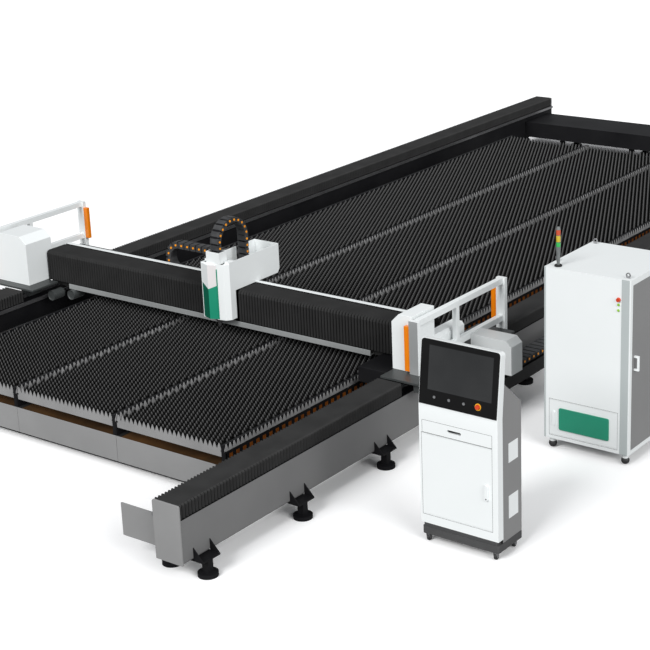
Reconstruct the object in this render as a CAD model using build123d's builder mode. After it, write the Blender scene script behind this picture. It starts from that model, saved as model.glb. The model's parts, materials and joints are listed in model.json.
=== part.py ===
# Gantry laser cutting machine with its operator console and electrical cabinet
# Millimetres, X across the rails towards the console, Y along the rails away from the near end, Z up from the floor

import os
from math import atan2, cos, sin

from build123d import *

os.makedirs("parts", exist_ok=True)

# Driving sizes of the rails
rail_length = 13700
rail_gap = 4540
rail_width = 265
rail_height = 360
rail_underside = 155
rail_wall = 12
end_plate = 15
bellows_height = 120
bellows_wall = 22
fold_pitch = 150
fold_depth = 14

# Driving sizes of the supports
foot_count = 12
foot_pitch = 1145
first_foot = 218
foot_reach = 94
gusset_height = 98
gusset_spread = 195
plate_thickness = 12
leg_side = 60
disc_diameter = 160
disc_height = 32

# Driving sizes of the bed
column_width = 1230
column_count = 3
bed_length = 10550
bed_front_inset = 1270
bed_shift = 20
slat_top = 495
slat_height = 120
slat_thickness = 8
slat_count = 20
tooth_count = 6
tooth_depth = 55
bed_tube_top = 300
bed_tube_bottom = 140
bed_tube_width = 100
bed_tube_wall = 8
comb_top = 430
comb_thickness = 12
panel_thickness = 6
panel_bottom = 60

# Driving sizes of the gantry
gantry_front = 3053
box_top = 1171
box_depth = 352
right_box_width = 210
left_box_width = 480
box_chamfer = 75
beam_bottom = 603
beam_top = 935
beam_depth = 240
plate_top = 660
guard_length = 1415
post_width = 95
post_depth = 45

# Driving sizes of the standing units
console_width = 695
console_height = 1655
cabinet_width = 810
cabinet_depth = 838
cabinet_height = 1645
handle_reach = 45
guard_bar = 50

# Clearances
running = 0.3
seam = 3
door_gap = 2
stem_play = 0.06

# Door hinges: a pin above and below each door, set in from its edge and face
hinge_inset = 5
hinge_depth = 4.5
hinge_pin = 3
pin_reach = 7
lug_height = 12

# Places across the machine
rail_outer = rail_gap / 2 + rail_width
rail_middle = rail_gap / 2 + rail_width / 2
left_guard_reach = rail_outer + 405
cabinet_left = rail_outer + 975
right_reach = cabinet_left + cabinet_width + handle_reach
mid_x = (left_guard_reach - right_reach) / 2
right_rail = mid_x + rail_middle
left_rail = mid_x - rail_middle
right_face = mid_x + rail_outer
right_inner = mid_x + rail_gap / 2
left_inner = mid_x - rail_gap / 2

# Heights and places along the machine
rail_top = rail_underside + rail_height
cover_top = rail_top + bellows_height
near_end = -rail_length / 2
far_end = rail_length / 2
box_front = near_end + gantry_front
box_back = box_front + box_depth
plate_front = box_front - 203
guard_back = box_front + guard_length
plate_back = guard_back - post_depth
bed_front = near_end + bed_front_inset
bed_back = bed_front + bed_length
bed_left = mid_x + bed_shift - column_count * column_width / 2
comb_lines = [bed_left + i * column_width for i in range(column_count + 1)]
foot_places = [near_end + first_foot + i * foot_pitch for i in range(foot_count)]


def zigzag(length, pitch, low, high):
    """Points of a fold line that starts and ends low."""
    folds = max(2, round(length / pitch))
    step = length / folds
    points = [(0, low)]
    for i in range(folds):
        points += [((i + 0.5) * step, high), ((i + 1) * step, low)]
    return points


def folded_cover(length, width, height, wall, back_wall=True):
    """A bellows along Y from the origin: open below, folded on the top and both sides, X across it."""
    low = width / 2 - fold_depth
    side = zigzag(length, fold_pitch, low, width / 2)
    crest = zigzag(length, fold_pitch, height - fold_depth, height)
    with BuildPart() as cover:
        with BuildSketch(Plane.XY):
            with BuildLine():
                Polyline(*[(x, y) for y, x in side], *[(-x, y) for y, x in reversed(side)], close=True)
            make_face()
        extrude(amount=height)
        with BuildSketch(Plane.YZ):
            with BuildLine():
                Polyline((0, 0), *crest, (length, 0), close=True)
            make_face()
        extrude(amount=width, both=True, mode=Mode.INTERSECT)
        left = -low + wall
        right = low - wall if back_wall else width
        with BuildSketch(Plane.XZ):
            with Locations((left, -1)):
                Rectangle(right - left, height - fold_depth - wall + 1, align=(Align.MIN, Align.MIN))
        extrude(amount=-length, mode=Mode.SUBTRACT)
    return cover.part


def chain_side(length, height, pitch, notch):
    """Side outline of a straight cable chain from the origin, with a notch between links above and below."""
    top = zigzag(length, pitch, height - notch, height)
    bottom = zigzag(length, pitch, notch, 0)
    return top + bottom[::-1]


def caster_wheel(diameter, width, bore):
    """A caster wheel about X, centred on the origin."""
    with BuildPart() as wheel:
        with BuildSketch(Plane.YZ):
            Circle(diameter / 2)
            Circle(bore / 2, mode=Mode.SUBTRACT)
        extrude(amount=width / 2, both=True)
        chamfer(wheel.edges().filter_by(GeomType.CIRCLE).sort_by(SortBy.RADIUS)[-2:], length=3)
    return wheel.part


def caster_fork(wheel_diameter, wheel_width, axle, top):
    """A swivel fork for a wheel centred on the origin: two cheeks, an axle, a crown and a stem up to the top."""
    cheek = wheel_diameter / 2 + 4
    with BuildPart() as fork:
        for side in (-1, 1):
            with BuildSketch(Plane.YZ.offset(side * (wheel_width / 2 + 3))):
                with BuildLine():
                    Polyline((-11, -8), (11, -8), (14, cheek), (-24, cheek), close=True)
                make_face()
            extrude(amount=1.5, both=True)
        with BuildSketch(Plane.XY.offset(cheek)):
            with Locations((0, -5)):
                Rectangle(wheel_width + 9, 38)
        extrude(amount=4)
        with BuildSketch(Plane.YZ):
            Circle(axle / 2)
        extrude(amount=wheel_width / 2 + 6, both=True)
        with BuildSketch(Plane.XY.offset(cheek + 4)):
            with Locations((0, caster_trail)):
                Circle(9)
        extrude(amount=top - cheek - 4)
    return fork.part


def push_button(plane, spot, radius, cap, stem, taper=0):
    """A round button on a plane: a cap in front of it and a stem behind it."""
    with BuildPart() as button:
        with BuildSketch(plane):
            with Locations(spot):
                Circle(radius)
        extrude(amount=cap, taper=taper)
        with BuildSketch(plane):
            with Locations(spot):
                Circle(button_stem)
        extrude(amount=-stem)
    return button.part


# Rails
tube_inner_width = rail_width - 2 * rail_wall
tube_inner_height = rail_height - 2 * rail_wall
with BuildPart() as rail_beams:
    with BuildSketch(Plane.XZ) as rail_section:
        with Locations((left_rail, rail_underside), (right_rail, rail_underside)):
            Rectangle(rail_width, rail_height, align=(Align.CENTER, Align.MIN))
        fillet(rail_section.vertices().group_by(Axis.Y)[0], radius=26)
        with Locations((left_rail, rail_underside + rail_wall), (right_rail, rail_underside + rail_wall)):
            Rectangle(
                tube_inner_width,
                tube_inner_height,
                align=(Align.CENTER, Align.MIN),
                mode=Mode.SUBTRACT,
            )
    extrude(amount=rail_length / 2 - end_plate, both=True)
rail_beams.part.label = "rail_beams"
export_step(rail_beams.part, "parts/rail_beams.step")

# End plates, with the short guard wing on the inner side of the near right end
wing_width = 430
wing_bottom = 184
wing_top = 455
wing_setback = 85
wing_front = near_end + end_plate + wing_setback
plate_corner = 10
with BuildPart() as rail_end_plates:
    for end in (near_end + end_plate, far_end):
        with BuildSketch(Plane.XZ.offset(-end)) as end_outline:
            with Locations((left_rail, rail_underside - 5), (right_rail, rail_underside - 5)):
                Rectangle(
                    rail_width,
                    cover_top + 5 - rail_underside,
                    align=(Align.CENTER, Align.MIN),
                )
            chamfer(end_outline.vertices().group_by(Axis.Y)[-1], length=plate_corner)
        extrude(amount=end_plate)
    with BuildSketch(Plane.XZ.offset(-wing_front - end_plate)):
        with Locations((right_inner, wing_bottom)):
            Rectangle(wing_width, wing_top - wing_bottom, align=(Align.MAX, Align.MIN))
    extrude(amount=end_plate)
    with BuildSketch(Plane.YZ.offset(right_inner - wing_width / 2)):
        with BuildLine():
            Polyline(
                (wing_front + end_plate, wing_bottom),
                (wing_front + end_plate + 90, wing_bottom),
                (wing_front + end_plate, wing_bottom + 120),
                close=True,
            )
        make_face()
    extrude(amount=6, both=True)
rail_end_plates.part.label = "rail_end_plates"
export_step(rail_end_plates.part, "parts/rail_end_plates.step")

# Saddle plates under the rails with a pair of gussets on each side
saddle_places = [(x, y) for x in (left_rail, right_rail) for y in foot_places]
with BuildPart() as rail_brackets:
    with BuildSketch(Plane.XY.offset(rail_underside - plate_thickness)):
        with Locations(*saddle_places):
            Rectangle(rail_width + 2 * foot_reach, gusset_spread)
    extrude(amount=plate_thickness)
    for y in foot_places:
        for side in (-1, 1):
            with BuildSketch(Plane.XZ.offset(-(y + side * (gusset_spread / 2 - 5)))):
                for x in (left_rail, right_rail):
                    for way in (-1, 1):
                        with BuildLine():
                            Polyline(
                                (x + way * rail_width / 2, rail_underside),
                                (x + way * (rail_width / 2 + foot_reach), rail_underside),
                                (x + way * rail_width / 2, rail_underside + gusset_height),
                                close=True,
                            )
                        make_face()
            extrude(amount=4, both=True)
rail_brackets.part.label = "rail_brackets"
export_step(rail_brackets.part, "parts/rail_brackets.step")

# Levelling feet: a square leg on a round disc, outside every saddle and inside the first and last
foot_line = rail_width / 2 + foot_reach / 2
outer_feet = [(left_rail - foot_line, y) for y in foot_places] + [(right_rail + foot_line, y) for y in foot_places]
inner_feet = [
    (x, y)
    for x in (left_rail + foot_line, right_rail - foot_line)
    for y in (foot_places[0], foot_places[foot_count // 2], foot_places[-1])
]
with BuildPart() as rail_feet:
    with BuildSketch(Plane.XY.offset(disc_height)):
        with Locations(*outer_feet, *inner_feet):
            Rectangle(leg_side, leg_side)
    extrude(amount=rail_underside - plate_thickness - disc_height)
    with BuildSketch(Plane.XY):
        with Locations(*outer_feet, *inner_feet):
            Circle(disc_diameter / 2)
    extrude(amount=disc_height)
rail_feet.part.label = "rail_feet"
export_step(rail_feet.part, "parts/rail_feet.step")

# Linear guides on top of the rails and racks along their inner faces
guide_width = 40
guide_height = 35
rack_depth = 26
rack_height = 30
guide_length = rail_length - 2 * end_plate
with BuildPart() as rail_guides:
    with BuildSketch(Plane.XZ):
        with Locations((left_rail, rail_top), (right_rail, rail_top)):
            Rectangle(guide_width, guide_height, align=(Align.CENTER, Align.MIN))
        with Locations((left_inner, rail_top)):
            Rectangle(rack_depth, rack_height, align=(Align.MIN, Align.MAX))
        with Locations((right_inner, rail_top)):
            Rectangle(rack_depth, rack_height, align=(Align.MAX, Align.MAX))
    extrude(amount=guide_length / 2, both=True)
rail_guides.part.label = "rail_guides"
export_step(rail_guides.part, "parts/rail_guides.step")

# Bellows over the rail guides, before and behind the gantry
left_plate_front = box_front - 100
cover_height = cover_top - rail_top
near_right = folded_cover(plate_front - near_end - end_plate, rail_width, cover_height, bellows_wall)
near_left = folded_cover(left_plate_front - near_end - end_plate, rail_width, cover_height, bellows_wall)
far_both = folded_cover(far_end - end_plate - plate_back, rail_width, cover_height, bellows_wall)
with BuildPart() as near_bellows:
    with Locations((right_rail, near_end + end_plate, rail_top)):
        add(near_right)
    with Locations((left_rail, near_end + end_plate, rail_top)):
        add(near_left)
near_bellows.part.label = "near_bellows"
export_step(near_bellows.part, "parts/near_bellows.step")

with BuildPart() as far_bellows:
    with Locations((right_rail, plate_back, rail_top), (left_rail, plate_back, rail_top)):
        add(far_both)
far_bellows.part.label = "far_bellows"
export_step(far_bellows.part, "parts/far_bellows.step")

# Crossbeam between the rails at the far end, on its own legs
cross_front = far_end - 785
cross_depth = 665
cross_top = 420
cross_height = 220
with BuildPart() as far_crossbeam:
    with BuildSketch(Plane.YZ.offset(mid_x)):
        with Locations((cross_front, cross_top)):
            Rectangle(cross_depth, cross_height, align=(Align.MIN, Align.MAX))
        with Locations((cross_front + 12, cross_top - 12)):
            Rectangle(
                cross_depth - 24, cross_height - 24, align=(Align.MIN, Align.MAX), mode=Mode.SUBTRACT
            )
    extrude(amount=rail_gap / 2, both=True)
    leg_lines = [mid_x + side * rail_gap / 8 for side in (-3, -1, 1, 3)]
    leg_places = [(x, y) for x in leg_lines for y in (cross_front + 120, cross_front + cross_depth - 120)]
    with BuildSketch(Plane.XY.offset(disc_height)):
        with Locations(*leg_places):
            Rectangle(leg_side, leg_side)
    extrude(amount=cross_top - cross_height - disc_height)
    with BuildSketch(Plane.XY):
        with Locations(*leg_places):
            Circle(disc_diameter / 2)
    extrude(amount=disc_height)
far_crossbeam.part.label = "far_crossbeam"
export_step(far_crossbeam.part, "parts/far_crossbeam.step")

# Cable tray on brackets along the outer side of the right rail
tray_left = right_face + 145
tray_width = 220
tray_bottom = 268
tray_lip = 395
tray_start = box_front + 300
tray_end = far_end - 250
tray_brackets = [y for y in foot_places if tray_start + 200 < y < tray_end - 200][::2]
with BuildPart() as cable_tray:
    with BuildSketch(Plane.XZ.offset(-tray_start)):
        with Locations((tray_left, tray_bottom)):
            Rectangle(tray_width, tray_lip - tray_bottom, align=(Align.MIN, Align.MIN))
        with Locations((tray_left + 4, tray_bottom + 4)):
            Rectangle(tray_width - 8, tray_lip, align=(Align.MIN, Align.MIN), mode=Mode.SUBTRACT)
    extrude(amount=tray_start - tray_end)
    with BuildSketch(Plane.XY.offset(tray_bottom)):
        with Locations(*[(right_face, y) for y in tray_brackets]):
            Rectangle(tray_left - right_face + tray_width, 60, align=(Align.MIN, Align.CENTER))
    extrude(amount=-10)
cable_tray.part.label = "cable_tray"
export_step(cable_tray.part, "parts/cable_tray.step")

# Cable chain along the rails: upper run, bend at the far end and lower run back to its anchor
chain_height = 55
chain_width = 170
chain_pitch = 150
lower_run = tray_bottom + 4
upper_run = tray_lip + 5
chain_start = box_front + 900
chain_bend = tray_end - 120
bend_radius = (upper_run - lower_run) / 2
chain_middle = tray_left + tray_width / 2
upper_side = chain_side(chain_bend - chain_start, chain_height, chain_pitch, 6)
with BuildPart() as rail_chain:
    with BuildSketch(Plane.YZ.offset(chain_middle)):
        with BuildLine():
            Polyline(*[(chain_start + y, upper_run + z) for y, z in upper_side], close=True)
        make_face()
        with Locations((chain_bend, lower_run)):
            Rectangle(1800, chain_height, align=(Align.MAX, Align.MIN))
        with BuildLine():
            b = Line((chain_bend, lower_run), (chain_bend, lower_run + chain_height))
            ThreePointArc(
                b @ 1,
                (chain_bend + bend_radius - chain_height / 2, lower_run + bend_radius + chain_height / 2),
                (chain_bend, upper_run),
            )
            c = Line((chain_bend, upper_run), (chain_bend, upper_run + chain_height))
            ThreePointArc(
                c @ 1,
                (chain_bend + bend_radius + chain_height / 2, lower_run + bend_radius + chain_height / 2),
                b @ 0,
            )
        make_face()
    extrude(amount=chain_width / 2, both=True)
rail_chain.part.label = "rail_chain"
export_step(rail_chain.part, "parts/rail_chain.step")

# Bed frame: tubes along the comb lines, ties across and feet
tie_count = 9
tie_pitch = (bed_length - 400) / (tie_count - 1)
bed_ties = [bed_front + 200 + i * tie_pitch for i in range(tie_count)]
tie_side = 60
tube_front = bed_front + panel_thickness
tube_length = bed_length - 2 * panel_thickness
bed_feet_places = [(x, y) for x in comb_lines for y in (bed_ties[0], bed_ties[3], bed_ties[-1])]
with BuildPart() as bed_frame:
    with BuildSketch(Plane.XZ.offset(-tube_front)):
        with Locations(*[(x, bed_tube_bottom) for x in comb_lines]):
            Rectangle(bed_tube_width, bed_tube_top - bed_tube_bottom, align=(Align.CENTER, Align.MIN))
        with Locations(*[(x, bed_tube_bottom + bed_tube_wall) for x in comb_lines]):
            Rectangle(
                bed_tube_width - 2 * bed_tube_wall,
                bed_tube_top - bed_tube_bottom - 2 * bed_tube_wall,
                align=(Align.CENTER, Align.MIN),
                mode=Mode.SUBTRACT,
            )
    extrude(amount=-tube_length)
    with BuildSketch(Plane.XY.offset(bed_tube_bottom)):
        with Locations(*[(x + column_width / 2, y) for x in comb_lines[:-1] for y in bed_ties]):
            Rectangle(column_width - bed_tube_width, tie_side)
    extrude(amount=tie_side)
    with BuildSketch(Plane.XY.offset(disc_height)):
        with Locations(*bed_feet_places):
            Rectangle(leg_side, leg_side)
    extrude(amount=bed_tube_bottom - disc_height)
    with BuildSketch(Plane.XY):
        with Locations(*bed_feet_places):
            Circle(disc_diameter * 0.4)
    extrude(amount=disc_height)
bed_frame.part.label = "bed_frame"
export_step(bed_frame.part, "parts/bed_frame.step")

# Panels across the two ends of the bed, one to a column
with BuildPart() as bed_panels:
    for face in (tube_front, bed_back):
        with BuildSketch(Plane.XZ.offset(-face)):
            with Locations(*[(x + column_width / 2, panel_bottom) for x in comb_lines[:-1]]):
                Rectangle(column_width - seam, bed_tube_top - panel_bottom, align=(Align.CENTER, Align.MIN))
        extrude(amount=panel_thickness)
bed_panels.part.label = "bed_panels"
export_step(bed_panels.part, "parts/bed_panels.step")

# Comb plates that stand on the tubes, slotted for the slats
slat_bottom = slat_top - slat_height
slat_step = (bed_length - 2 * panel_thickness - 30) / (slat_count - 1)
slat_places = [tube_front + 15 + i * slat_step for i in range(slat_count)]
with BuildPart() as single_comb:
    with BuildSketch(Plane.YZ):
        with Locations((tube_front, bed_tube_top)):
            Rectangle(tube_length, comb_top - bed_tube_top, align=(Align.MIN, Align.MIN))
        with Locations(*[(y, slat_bottom) for y in slat_places]):
            Rectangle(
                slat_thickness + 1, comb_top, align=(Align.CENTER, Align.MIN), mode=Mode.SUBTRACT
            )
    extrude(amount=comb_thickness / 2, both=True)
slat_comb = single_comb.part
with BuildPart() as slat_combs:
    with Locations(*[(x, 0, 0) for x in comb_lines]):
        add(slat_comb)
slat_combs.part.label = "slat_combs"
export_step(slat_combs.part, "parts/slat_combs.step")

# Slats: pointed blades that rest in the slots, three across
tooth_line = zigzag(column_width - seam, (column_width - seam) / tooth_count, slat_height - tooth_depth, slat_height)
with BuildPart() as slat:
    with BuildSketch(Plane.XZ):
        with BuildLine():
            Polyline((0, 0), *tooth_line, (column_width - seam, 0), close=True)
        make_face()
    extrude(amount=slat_thickness / 2, both=True)
blade = slat.part
with BuildPart() as slats:
    with Locations(*[(x + seam / 2, y, slat_bottom) for x in comb_lines[:-1] for y in slat_places]):
        add(blade)
slats.part.label = "slats"
export_step(slats.part, "parts/slats.step")

# Troughs that catch the slag under each column
trough_rise = 88
trough_thickness = 5
trough_half = (column_width - bed_tube_width) / 2
trough_top = bed_tube_top - 4
with BuildPart() as slag_troughs:
    with BuildSketch(Plane.XZ.offset(-tube_front - 1)):
        for x in comb_lines[:-1]:
            middle = x + column_width / 2
            with BuildLine():
                Polyline(
                    (middle - trough_half, trough_top),
                    (middle, trough_top - trough_rise),
                    (middle + trough_half, trough_top),
                    (middle + trough_half, trough_top - trough_thickness),
                    (middle, trough_top - trough_rise - trough_thickness),
                    (middle - trough_half, trough_top - trough_thickness),
                    close=True,
                )
            make_face()
    extrude(amount=-(tube_length - 2))
slag_troughs.part.label = "slag_troughs"
export_step(slag_troughs.part, "parts/slag_troughs.step")

# Gantry beam: tube on end blocks, guide bars and a lip in front, chain tray and cover strip behind
beam_front = box_front + 317
beam_back = beam_front + beam_depth
beam_reach = 2290
beam_left = mid_x - beam_reach
beam_right = mid_x + beam_reach
beam_wall = 12
guide_bar = 20
end_block = 45
cover_front = beam_front - 50
cover_rise = 32
folds_top = beam_top + cover_rise
lip_height = 52
lip_thickness = 6
lip_left = mid_x - 1990
lip_right = mid_x + 1853
strip_width = 50
strip_thickness = 6
chain_tray_depth = 190
chain_tray_top = beam_top - 101
tray_sheet = 4
with BuildPart() as gantry_beam:
    with BuildSketch(Plane.YZ.offset(mid_x)):
        with Locations((beam_front, beam_bottom)):
            Rectangle(beam_depth, beam_top - beam_bottom, align=(Align.MIN, Align.MIN))
        with Locations((beam_front + beam_wall, beam_bottom + beam_wall)):
            Rectangle(
                beam_depth - 2 * beam_wall,
                beam_top - beam_bottom - 2 * beam_wall,
                align=(Align.MIN, Align.MIN),
                mode=Mode.SUBTRACT,
            )
        with Locations((beam_front, beam_bottom + 90), (beam_front, beam_top - 60)):
            Rectangle(guide_bar, 30, align=(Align.MAX, Align.MIN))
        with Locations((beam_back, chain_tray_top)):
            Rectangle(chain_tray_depth, tray_sheet, align=(Align.MIN, Align.MAX))
        with Locations((beam_back + chain_tray_depth, chain_tray_top)):
            Rectangle(tray_sheet, 60, align=(Align.MAX, Align.MIN))
    extrude(amount=beam_reach, both=True)
    with BuildSketch(Plane.XY.offset(plate_top)):
        with Locations((beam_left, box_back)):
            Rectangle(end_block, beam_back - box_back, align=(Align.MAX, Align.MIN))
        with Locations((beam_right, box_back)):
            Rectangle(end_block, beam_back - box_back, align=(Align.MIN, Align.MIN))
    extrude(amount=beam_top - plate_top)
    with BuildSketch(Plane.YZ.offset(lip_left)):
        with Locations((cover_front, beam_bottom)):
            Rectangle(beam_front - cover_front, 2 * lip_thickness, align=(Align.MIN, Align.MIN))
            Rectangle(lip_thickness, lip_height, align=(Align.MIN, Align.MIN))
    extrude(amount=lip_right - lip_left)
    with BuildSketch(Plane.YZ.offset(beam_left)):
        with Locations((beam_back, beam_top - 40)):
            Rectangle(strip_thickness, cover_rise + 38, align=(Align.MIN, Align.MIN))
        with Locations((beam_back, folds_top - 2)):
            Rectangle(strip_width, strip_thickness, align=(Align.MIN, Align.MIN))
    extrude(amount=2 * beam_reach)
gantry_beam.part.label = "gantry_beam"
export_step(gantry_beam.part, "parts/gantry_beam.step")

# Carriage plates on the rails, with guide blocks that straddle the guides
sole_thickness = 20
sole_bottom = plate_top - sole_thickness
block_length = 180
right_plate_left = mid_x + 2300
right_plate_right = mid_x + 2700
left_plate_left = mid_x - left_guard_reach
left_plate_right = beam_left - 2
tongue_right = mid_x - 2140
tongue_back = cover_front - 10
block_places = [
    (x, y) for x in (left_rail, right_rail) for y in (box_front + 120, plate_back - 250)
]
with BuildPart() as carriage_plates:
    with BuildSketch(Plane.XY.offset(sole_bottom)):
        with Locations(((right_plate_left + right_plate_right) / 2, (plate_front + plate_back) / 2)):
            Rectangle(right_plate_right - right_plate_left, plate_back - plate_front)
        with Locations(((left_plate_left + left_plate_right) / 2, (left_plate_front + plate_back) / 2)):
            Rectangle(left_plate_right - left_plate_left, plate_back - left_plate_front)
        with Locations((left_plate_left, left_plate_front)):
            Rectangle(
                tongue_right - left_plate_left,
                tongue_back - left_plate_front,
                align=(Align.MIN, Align.MIN),
            )
    extrude(amount=sole_thickness)
    with BuildSketch(Plane.XY.offset(rail_top + 8)):
        with Locations(*block_places):
            Rectangle(110, block_length)
    extrude(amount=sole_bottom - rail_top - 8)
    with BuildSketch(Plane.XY.offset(rail_top)):
        with Locations(*block_places):
            Rectangle(guide_width + 2 * running, block_length + 2)
    extrude(amount=guide_height + running, mode=Mode.SUBTRACT)
    with BuildSketch(Plane.XY.offset(sole_bottom)):
        with Locations((right_plate_right - 45, plate_front + 110)):
            Rectangle(80, 130)
    extrude(amount=-85)
carriage_plates.part.label = "carriage_plates"
export_step(carriage_plates.part, "parts/carriage_plates.step")

# End boxes at both ends of the beam and the drive housing behind the right one
wall = 4
box_slope = box_chamfer + 12
left_box_right = beam_left
left_box_left = left_box_right - left_box_width
with BuildPart() as left_box:
    with BuildSketch(Plane.XZ.offset(-box_front)) as left_outline:
        with Locations((left_box_left, plate_top)):
            Rectangle(left_box_width, box_top - plate_top, align=(Align.MIN, Align.MIN))
        chamfer(left_outline.vertices().group_by(Axis.Y)[-1], length=box_chamfer, length2=box_slope)
    extrude(amount=-box_depth)
    offset(amount=-wall, openings=left_box.faces().sort_by(Axis.Z)[0])

with BuildPart() as right_box:
    with BuildSketch(Plane.XZ.offset(-box_front)) as right_outline:
        with Locations((beam_right, plate_top)):
            Rectangle(right_box_width, box_top - plate_top, align=(Align.MIN, Align.MIN))
        chamfer(right_outline.vertices().sort_by(Axis.X)[:2].sort_by(Axis.Y)[-1], length=box_chamfer)
    extrude(amount=-box_depth)
    offset(amount=-wall, openings=right_box.faces().sort_by(Axis.Z)[0])

housing_left = beam_right + 50
housing_right = beam_right + right_box_width - 5
housing_top = 880
housing_back = box_front + 837
with BuildPart() as drive_housing:
    with BuildSketch(Plane.YZ.offset(housing_left)):
        with Locations((box_back, plate_top)):
            Rectangle(housing_back - box_back, housing_top - plate_top, align=(Align.MIN, Align.MIN))
    extrude(amount=housing_right - housing_left)
    chamfer(drive_housing.edges().filter_by(Axis.Y).sort_by(Axis.Z)[-2:], length=28)
    offset(amount=-wall, openings=drive_housing.faces().sort_by(Axis.Z)[0])

with BuildPart() as end_boxes:
    add(left_box.part)
    add(right_box.part)
    add(drive_housing.part)
end_boxes.part.label = "end_boxes"
export_step(end_boxes.part, "parts/end_boxes.step")

# Guard frames outside the boxes: posts and bars of profile
guard_top = 1150
guard_lower = 790
bar_height = 58
right_guard = beam_right + right_box_width + post_width / 2
left_guard = mid_x - left_guard_reach + post_width / 2
with BuildPart() as guard_frames:
    for x in (left_guard, right_guard):
        with BuildSketch(Plane.YZ.offset(x)):
            with Locations((box_front - post_depth, plate_top)):
                Rectangle(post_depth, guard_top - plate_top, align=(Align.MIN, Align.MIN))
            with Locations((plate_back, sole_bottom)):
                Rectangle(post_depth, guard_top - sole_bottom, align=(Align.MIN, Align.MIN))
        extrude(amount=post_width / 2, both=True)
        with BuildSketch(Plane.YZ.offset(x)):
            with Locations((box_front - 1, guard_top), (box_front - 1, guard_lower)):
                Rectangle(
                    guard_back - box_front - post_depth + 2, bar_height, align=(Align.MIN, Align.MAX)
                )
            with Locations((box_front + 600, guard_lower - 1)):
                Rectangle(post_depth, guard_top - guard_lower, align=(Align.MIN, Align.MIN))
        extrude(amount=guard_bar / 2, both=True)
guard_frames.part.label = "guard_frames"
export_step(guard_frames.part, "parts/guard_frames.step")

# Light curtains: a sender strip beside each post
curtain_width = 55
curtain_depth = 40
curtain_bottom = 680
curtain_top = 1092
back_curtain_bottom = 740
back_curtain_top = 1085
front_curtains = [
    right_guard - post_width / 2 - curtain_width / 2,
    left_guard + post_width / 2 + curtain_width / 2,
]
back_curtains = [
    right_guard - post_width / 2 - curtain_width / 2,
    left_guard + post_width / 2 + curtain_width / 2,
]
with BuildPart() as light_curtains:
    with BuildSketch(Plane.XY.offset(curtain_bottom)):
        with Locations(*[(x, box_front) for x in front_curtains]):
            Rectangle(curtain_width, curtain_depth, align=(Align.CENTER, Align.MAX))
    extrude(amount=curtain_top - curtain_bottom)
    with BuildSketch(Plane.XY.offset(back_curtain_bottom)):
        with Locations(*[(x, plate_back) for x in back_curtains]):
            Rectangle(curtain_width, curtain_depth, align=(Align.CENTER, Align.MIN))
    extrude(amount=back_curtain_top - back_curtain_bottom)
light_curtains.part.label = "light_curtains"
export_step(light_curtains.part, "parts/light_curtains.step")

# Hood over the moving end of the rail chain, carried by the right plate
hood_left = right_plate_left + 273
hood_right = right_plate_left + 700
hood_top = 777
hood_bottom = 455
hood_front = box_front + 817
hood_depth = 190
with BuildPart() as chain_hood:
    with BuildSketch(Plane.XZ.offset(-hood_front)):
        with BuildLine():
            Polyline(
                (hood_left, plate_top),
                (hood_left, hood_top),
                (hood_right - 55, hood_top),
                (hood_right, hood_top - 55),
                (hood_right, hood_bottom),
                (hood_right - 90, hood_bottom),
                (right_plate_right + 8, hood_bottom + 110),
                (right_plate_right + 8, plate_top),
                close=True,
            )
        make_face()
    extrude(amount=-hood_depth)
    with BuildSketch(Plane.XZ.offset(-(hood_front + wall))):
        with BuildLine():
            Polyline(
                (hood_left + wall, plate_top + wall),
                (hood_left + wall, hood_top - wall),
                (hood_right - 57, hood_top - wall),
                (hood_right - wall, hood_top - 57),
                (hood_right - wall, hood_bottom + wall),
                (hood_right - 90, hood_bottom + wall),
                (right_plate_right + 12, hood_bottom + 114),
                (right_plate_right + 12, plate_top + wall),
                close=True,
            )
        make_face()
    extrude(amount=-hood_depth, mode=Mode.SUBTRACT)
    with BuildSketch(Plane.XY.offset(upper_run + chain_height)):
        with Locations((chain_middle, hood_front + hood_depth)):
            Rectangle(90, 60, align=(Align.CENTER, Align.MAX))
    extrude(amount=hood_top - wall - upper_run - chain_height)
chain_hood.part.label = "chain_hood"
export_step(chain_hood.part, "parts/chain_hood.step")

# Cutting carriage: plate on the guide bars, cover with an open tray, green front panel
cover_left = mid_x - 3
cover_right = mid_x + 300
cover_bottom = 694
cover_shoulder = 1245
arm_bottom = folds_top + 4 + running
arm_top = 1263
nose_front = box_front + 122
back_of_nose = beam_front - 60
arm_back = beam_back + 363
sheet = 5
plate_face = beam_front - guide_bar - running
with BuildPart() as carriage_plate:
    with BuildSketch(Plane.YZ.offset(cover_left + 20)):
        with Locations((plate_face, beam_bottom + 70)):
            Rectangle(
                plate_face - back_of_nose, beam_top - beam_bottom - 90, align=(Align.MAX, Align.MIN)
            )
        with Locations((plate_face, beam_top - 60)):
            Rectangle(12, arm_bottom - beam_top + 60, align=(Align.MAX, Align.MIN))
        with Locations((plate_face - 12, folds_top)):
            Rectangle(beam_depth, arm_bottom - folds_top, align=(Align.MIN, Align.MIN))
    extrude(amount=cover_right - cover_left - 40)
carriage_plate.part.label = "carriage_plate"
export_step(carriage_plate.part, "parts/carriage_plate.step")

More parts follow.
